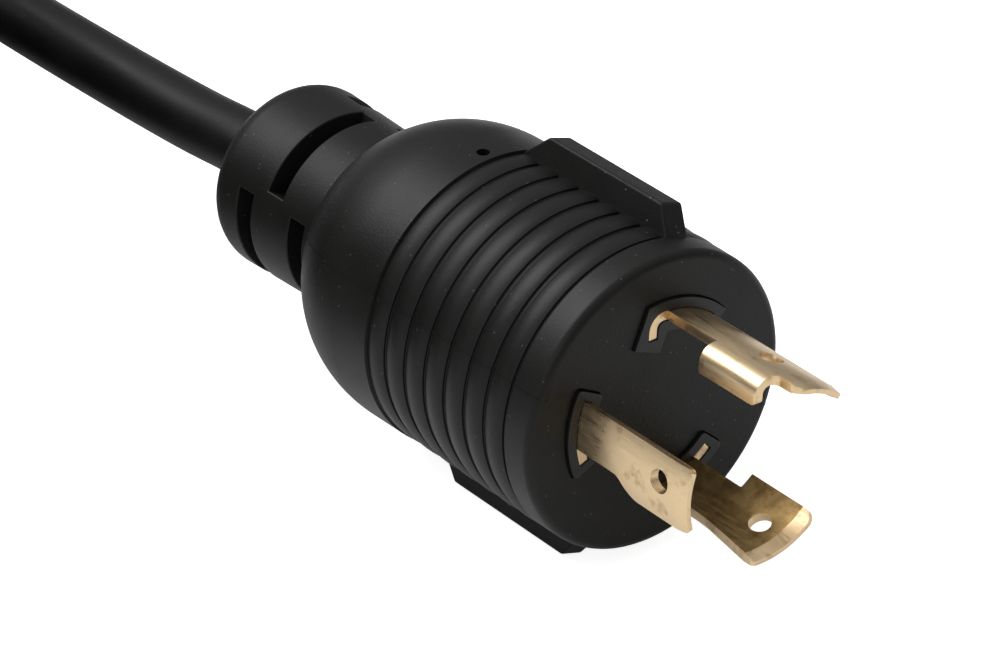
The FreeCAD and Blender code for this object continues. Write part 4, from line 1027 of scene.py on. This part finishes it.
def strap(angle):
    """A strap with its lap, and its place at an angle round the coil."""
    turns = range(sum(LAYERS) // 4 + 1)
    passes = [coil_radius((angle - COIL_START) / 90 + 4 * number) / MM for number in turns]
    clear = CORD_DIAMETER / 2 / MM + STRAP_CLEAR
    spread = STRAP_WIDTH / 2 * COIL_PITCH / MM / (2 * math.pi * min(passes))
    low = min(passes) - clear - spread - (STRAP_WIDTH / 2) ** 2 / (2 * min(passes))
    high = max(passes) + clear + spread
    top = COIL_CENTRE.z / MM + (len(LAYERS) - 1) * COIL_PITCH / MM + clear
    outer = (low - STRAP_THICK, high + STRAP_THICK, 0, top + STRAP_THICK)
    bm = band(*outer, STRAP_ROUND)
    bmesh.ops.recalc_face_normals(bm, faces=bm.faces)
    bmesh.ops.solidify(bm, geom=bm.faces[:], thickness=STRAP_THICK)
    lap = band(low, outer[1] + STRAP_THICK, STRAP_THICK, outer[3] + STRAP_THICK, STRAP_ROUND + 1)
    cut_along(lap, (low + (high - low) * LAP_ACROSS, 0, 0), (1, 0, 0), clear=True)
    cut_along(lap, (0, top * LAP_DOWN, 0), (0, 1, 0), clear=True)
    bmesh.ops.recalc_face_normals(lap, faces=lap.faces)
    bmesh.ops.solidify(lap, geom=lap.faces[:], thickness=STRAP_THICK)
    merge(bm, lap)
    stand = Matrix(((1, 0, 0, 0), (0, 0, 1, -STRAP_WIDTH / 2), (0, 1, 0, 0), (0, 0, 0, 1)))
    ground = Matrix.Translation((COIL_CENTRE.x, COIL_CENTRE.y, 0))
    return bm, ground @ Matrix.Rotation(math.radians(angle), 4, "Z") @ Matrix.Scale(MM, 4) @ stand


TAPE = woven_tape()
straps = []
for name, angle in (("front", 360), ("rear", 180)):
    made, place = strap(angle)
    straps.append(settle(made, "storage_strap_" + name, place, TAPE,
                         ["coil_strap_" + name]))

# %% [markdown]
# ## Pieces kept from the CAD model
# Washers, contacts, copper and the insert have the right shape already. They only need a finish, and the
# record says which finish each one takes.

# %% Finishes for kept pieces
def plain_plastic(name, colour, roughness):
    """Smooth plastic."""
    return moulded_pvc(name, colour, roughness, 0.3, 0.01)


FINISHES = {
    "moulded_pvc": BODY_PVC, "insulator": BOSS_NYLON, "brass": BRASS,
    "copper": brass("drawn_copper", "#c9825c", "#8a5236", 0.3, 0.3),
    "ground_core": plain_plastic("green_insulation", "#1f6b35", 0.45),
    "line_core": plain_plastic("black_insulation", "#1a1a1a", 0.45),
    "neutral_core": plain_plastic("white_insulation", "#dcdcd6", 0.45),
    "cord_jacket": CORD_PVC, "strap_tape": TAPE, "gasket": GASKET_RUBBER,
    "ring_nylon": RING_NYLON, "washer_nylon": plain_plastic("natural_nylon", "#d8d6c8", 0.4)}
slots = {part["node"]: part["material_slot"] for part in frame["record"]["subparts"]}
for name, node in nodes.items():
    for place in node.material_slots:
        place.material = FINISHES[slots[name]]
line.materials.append(CORD_PVC)

# %% [markdown]
# ## Floor and light
# The object lies on white paper, cut out so cleanly in the picture that hardly any shadow is left. So the
# floor glows to the camera alone, and gives back to the object only the light that falls on it. The room
# is bright overhead and dark towards the horizon, which is what makes black plastic show its shape: every
# round piece gets a light top, a dark side and a paler belly from the paper. One large lamp above and
# behind the cord adds the broad sheen on the dome, and a faint one stands at the side.

# %% Floor and light
FLOOR_SIZE = 12.0
GLOW_TO_OBJECT, GLOW_TO_CAMERA = 0.1, 0.85


def paper_floor():
    """White paper that glows to the camera and hardly to the object."""
    material, tree, shader, _ = new_material("floor_paper")
    shader.inputs["Base Color"].default_value = linear("#e8e8e8")
    shader.inputs["Roughness"].default_value = 1.0
    shader.inputs["Specular IOR Level"].default_value = 0.0
    shader.inputs["Emission Color"].default_value = (1, 1, 1, 1)
    camera_ray = add_node(tree, "LightPath").outputs["Is Camera Ray"]
    glow = ramp(tree, camera_ray, 0, 1, GLOW_TO_OBJECT, GLOW_TO_CAMERA)
    tree.links.new(glow, shader.inputs["Emission Strength"])
    return material


sheet = bmesh.new()
bmesh.ops.create_grid(sheet, x_segments=1, y_segments=1, size=FLOOR_SIZE / 2)
floor_mesh = bpy.data.meshes.new("floor")
sheet.to_mesh(floor_mesh)
sheet.free()
floor_mesh.materials.append(paper_floor())
floor = bpy.data.objects.new("floor", floor_mesh)
bpy.context.collection.objects.link(floor)

HORIZON_LIGHT, CEILING_LIGHT = 0.08, 0.75
world = bpy.data.worlds.new("white_studio")
world.use_nodes = True
bpy.context.scene.world = world
room = world.node_tree
sky = room.nodes["Background"]
sky.inputs["Color"].default_value = (1, 1, 1, 1)
direction = add_node(room, "TexCoord").outputs["Generated"]
height = add_node(room, "SeparateXYZ", {"Vector": direction}).outputs["Z"]
ceiling = ramp(room, height, 0.0, 0.9, HORIZON_LIGHT, CEILING_LIGHT)
to_camera = add_node(room, "LightPath").outputs["Is Camera Ray"]
strength = add_node(room, "Math", {0: ceiling, 1: to_camera}, operation="MAXIMUM")
room.links.new(strength.outputs["Value"], sky.inputs["Strength"])


def softbox(name, place, target, size, power):
    """A square area lamp that looks at a point."""
    lamp = bpy.data.lights.new(name, "AREA")
    lamp.size = size
    lamp.energy = power
    box = bpy.data.objects.new(name, lamp)
    box.location = place
    box.rotation_euler = (Vector(place) - Vector(target)).to_track_quat("Z", "Y").to_euler()
    bpy.context.collection.objects.link(box)


AIM = (0, 0, 0.03)
softbox("lamp_above", (-0.85, -0.45, 1.25), AIM, size=1.0, power=17)
softbox("lamp_side", (0.5, -1.3, 0.8), AIM, size=0.8, power=2.2)
bpy.context.scene.view_settings.view_transform = "Standard"

# %% [markdown]
# ## Last steps
# The pieces that hang on the cord are gathered in one list.

on_cord = connector_pieces + straps + [
    "contact_insert", "connector_terminal_block", "ground_contact", "line_contact",
    "neutral_contact", "sealing_gasket", "ring_retainer", "slip_washer", "connector_jacket_end"]
on_cord += ["connector_%s_%s" % (core, piece) for core in ("ground", "line", "neutral")
            for piece in ("conductor", "insulation")]

bpy.context.view_layer.update()
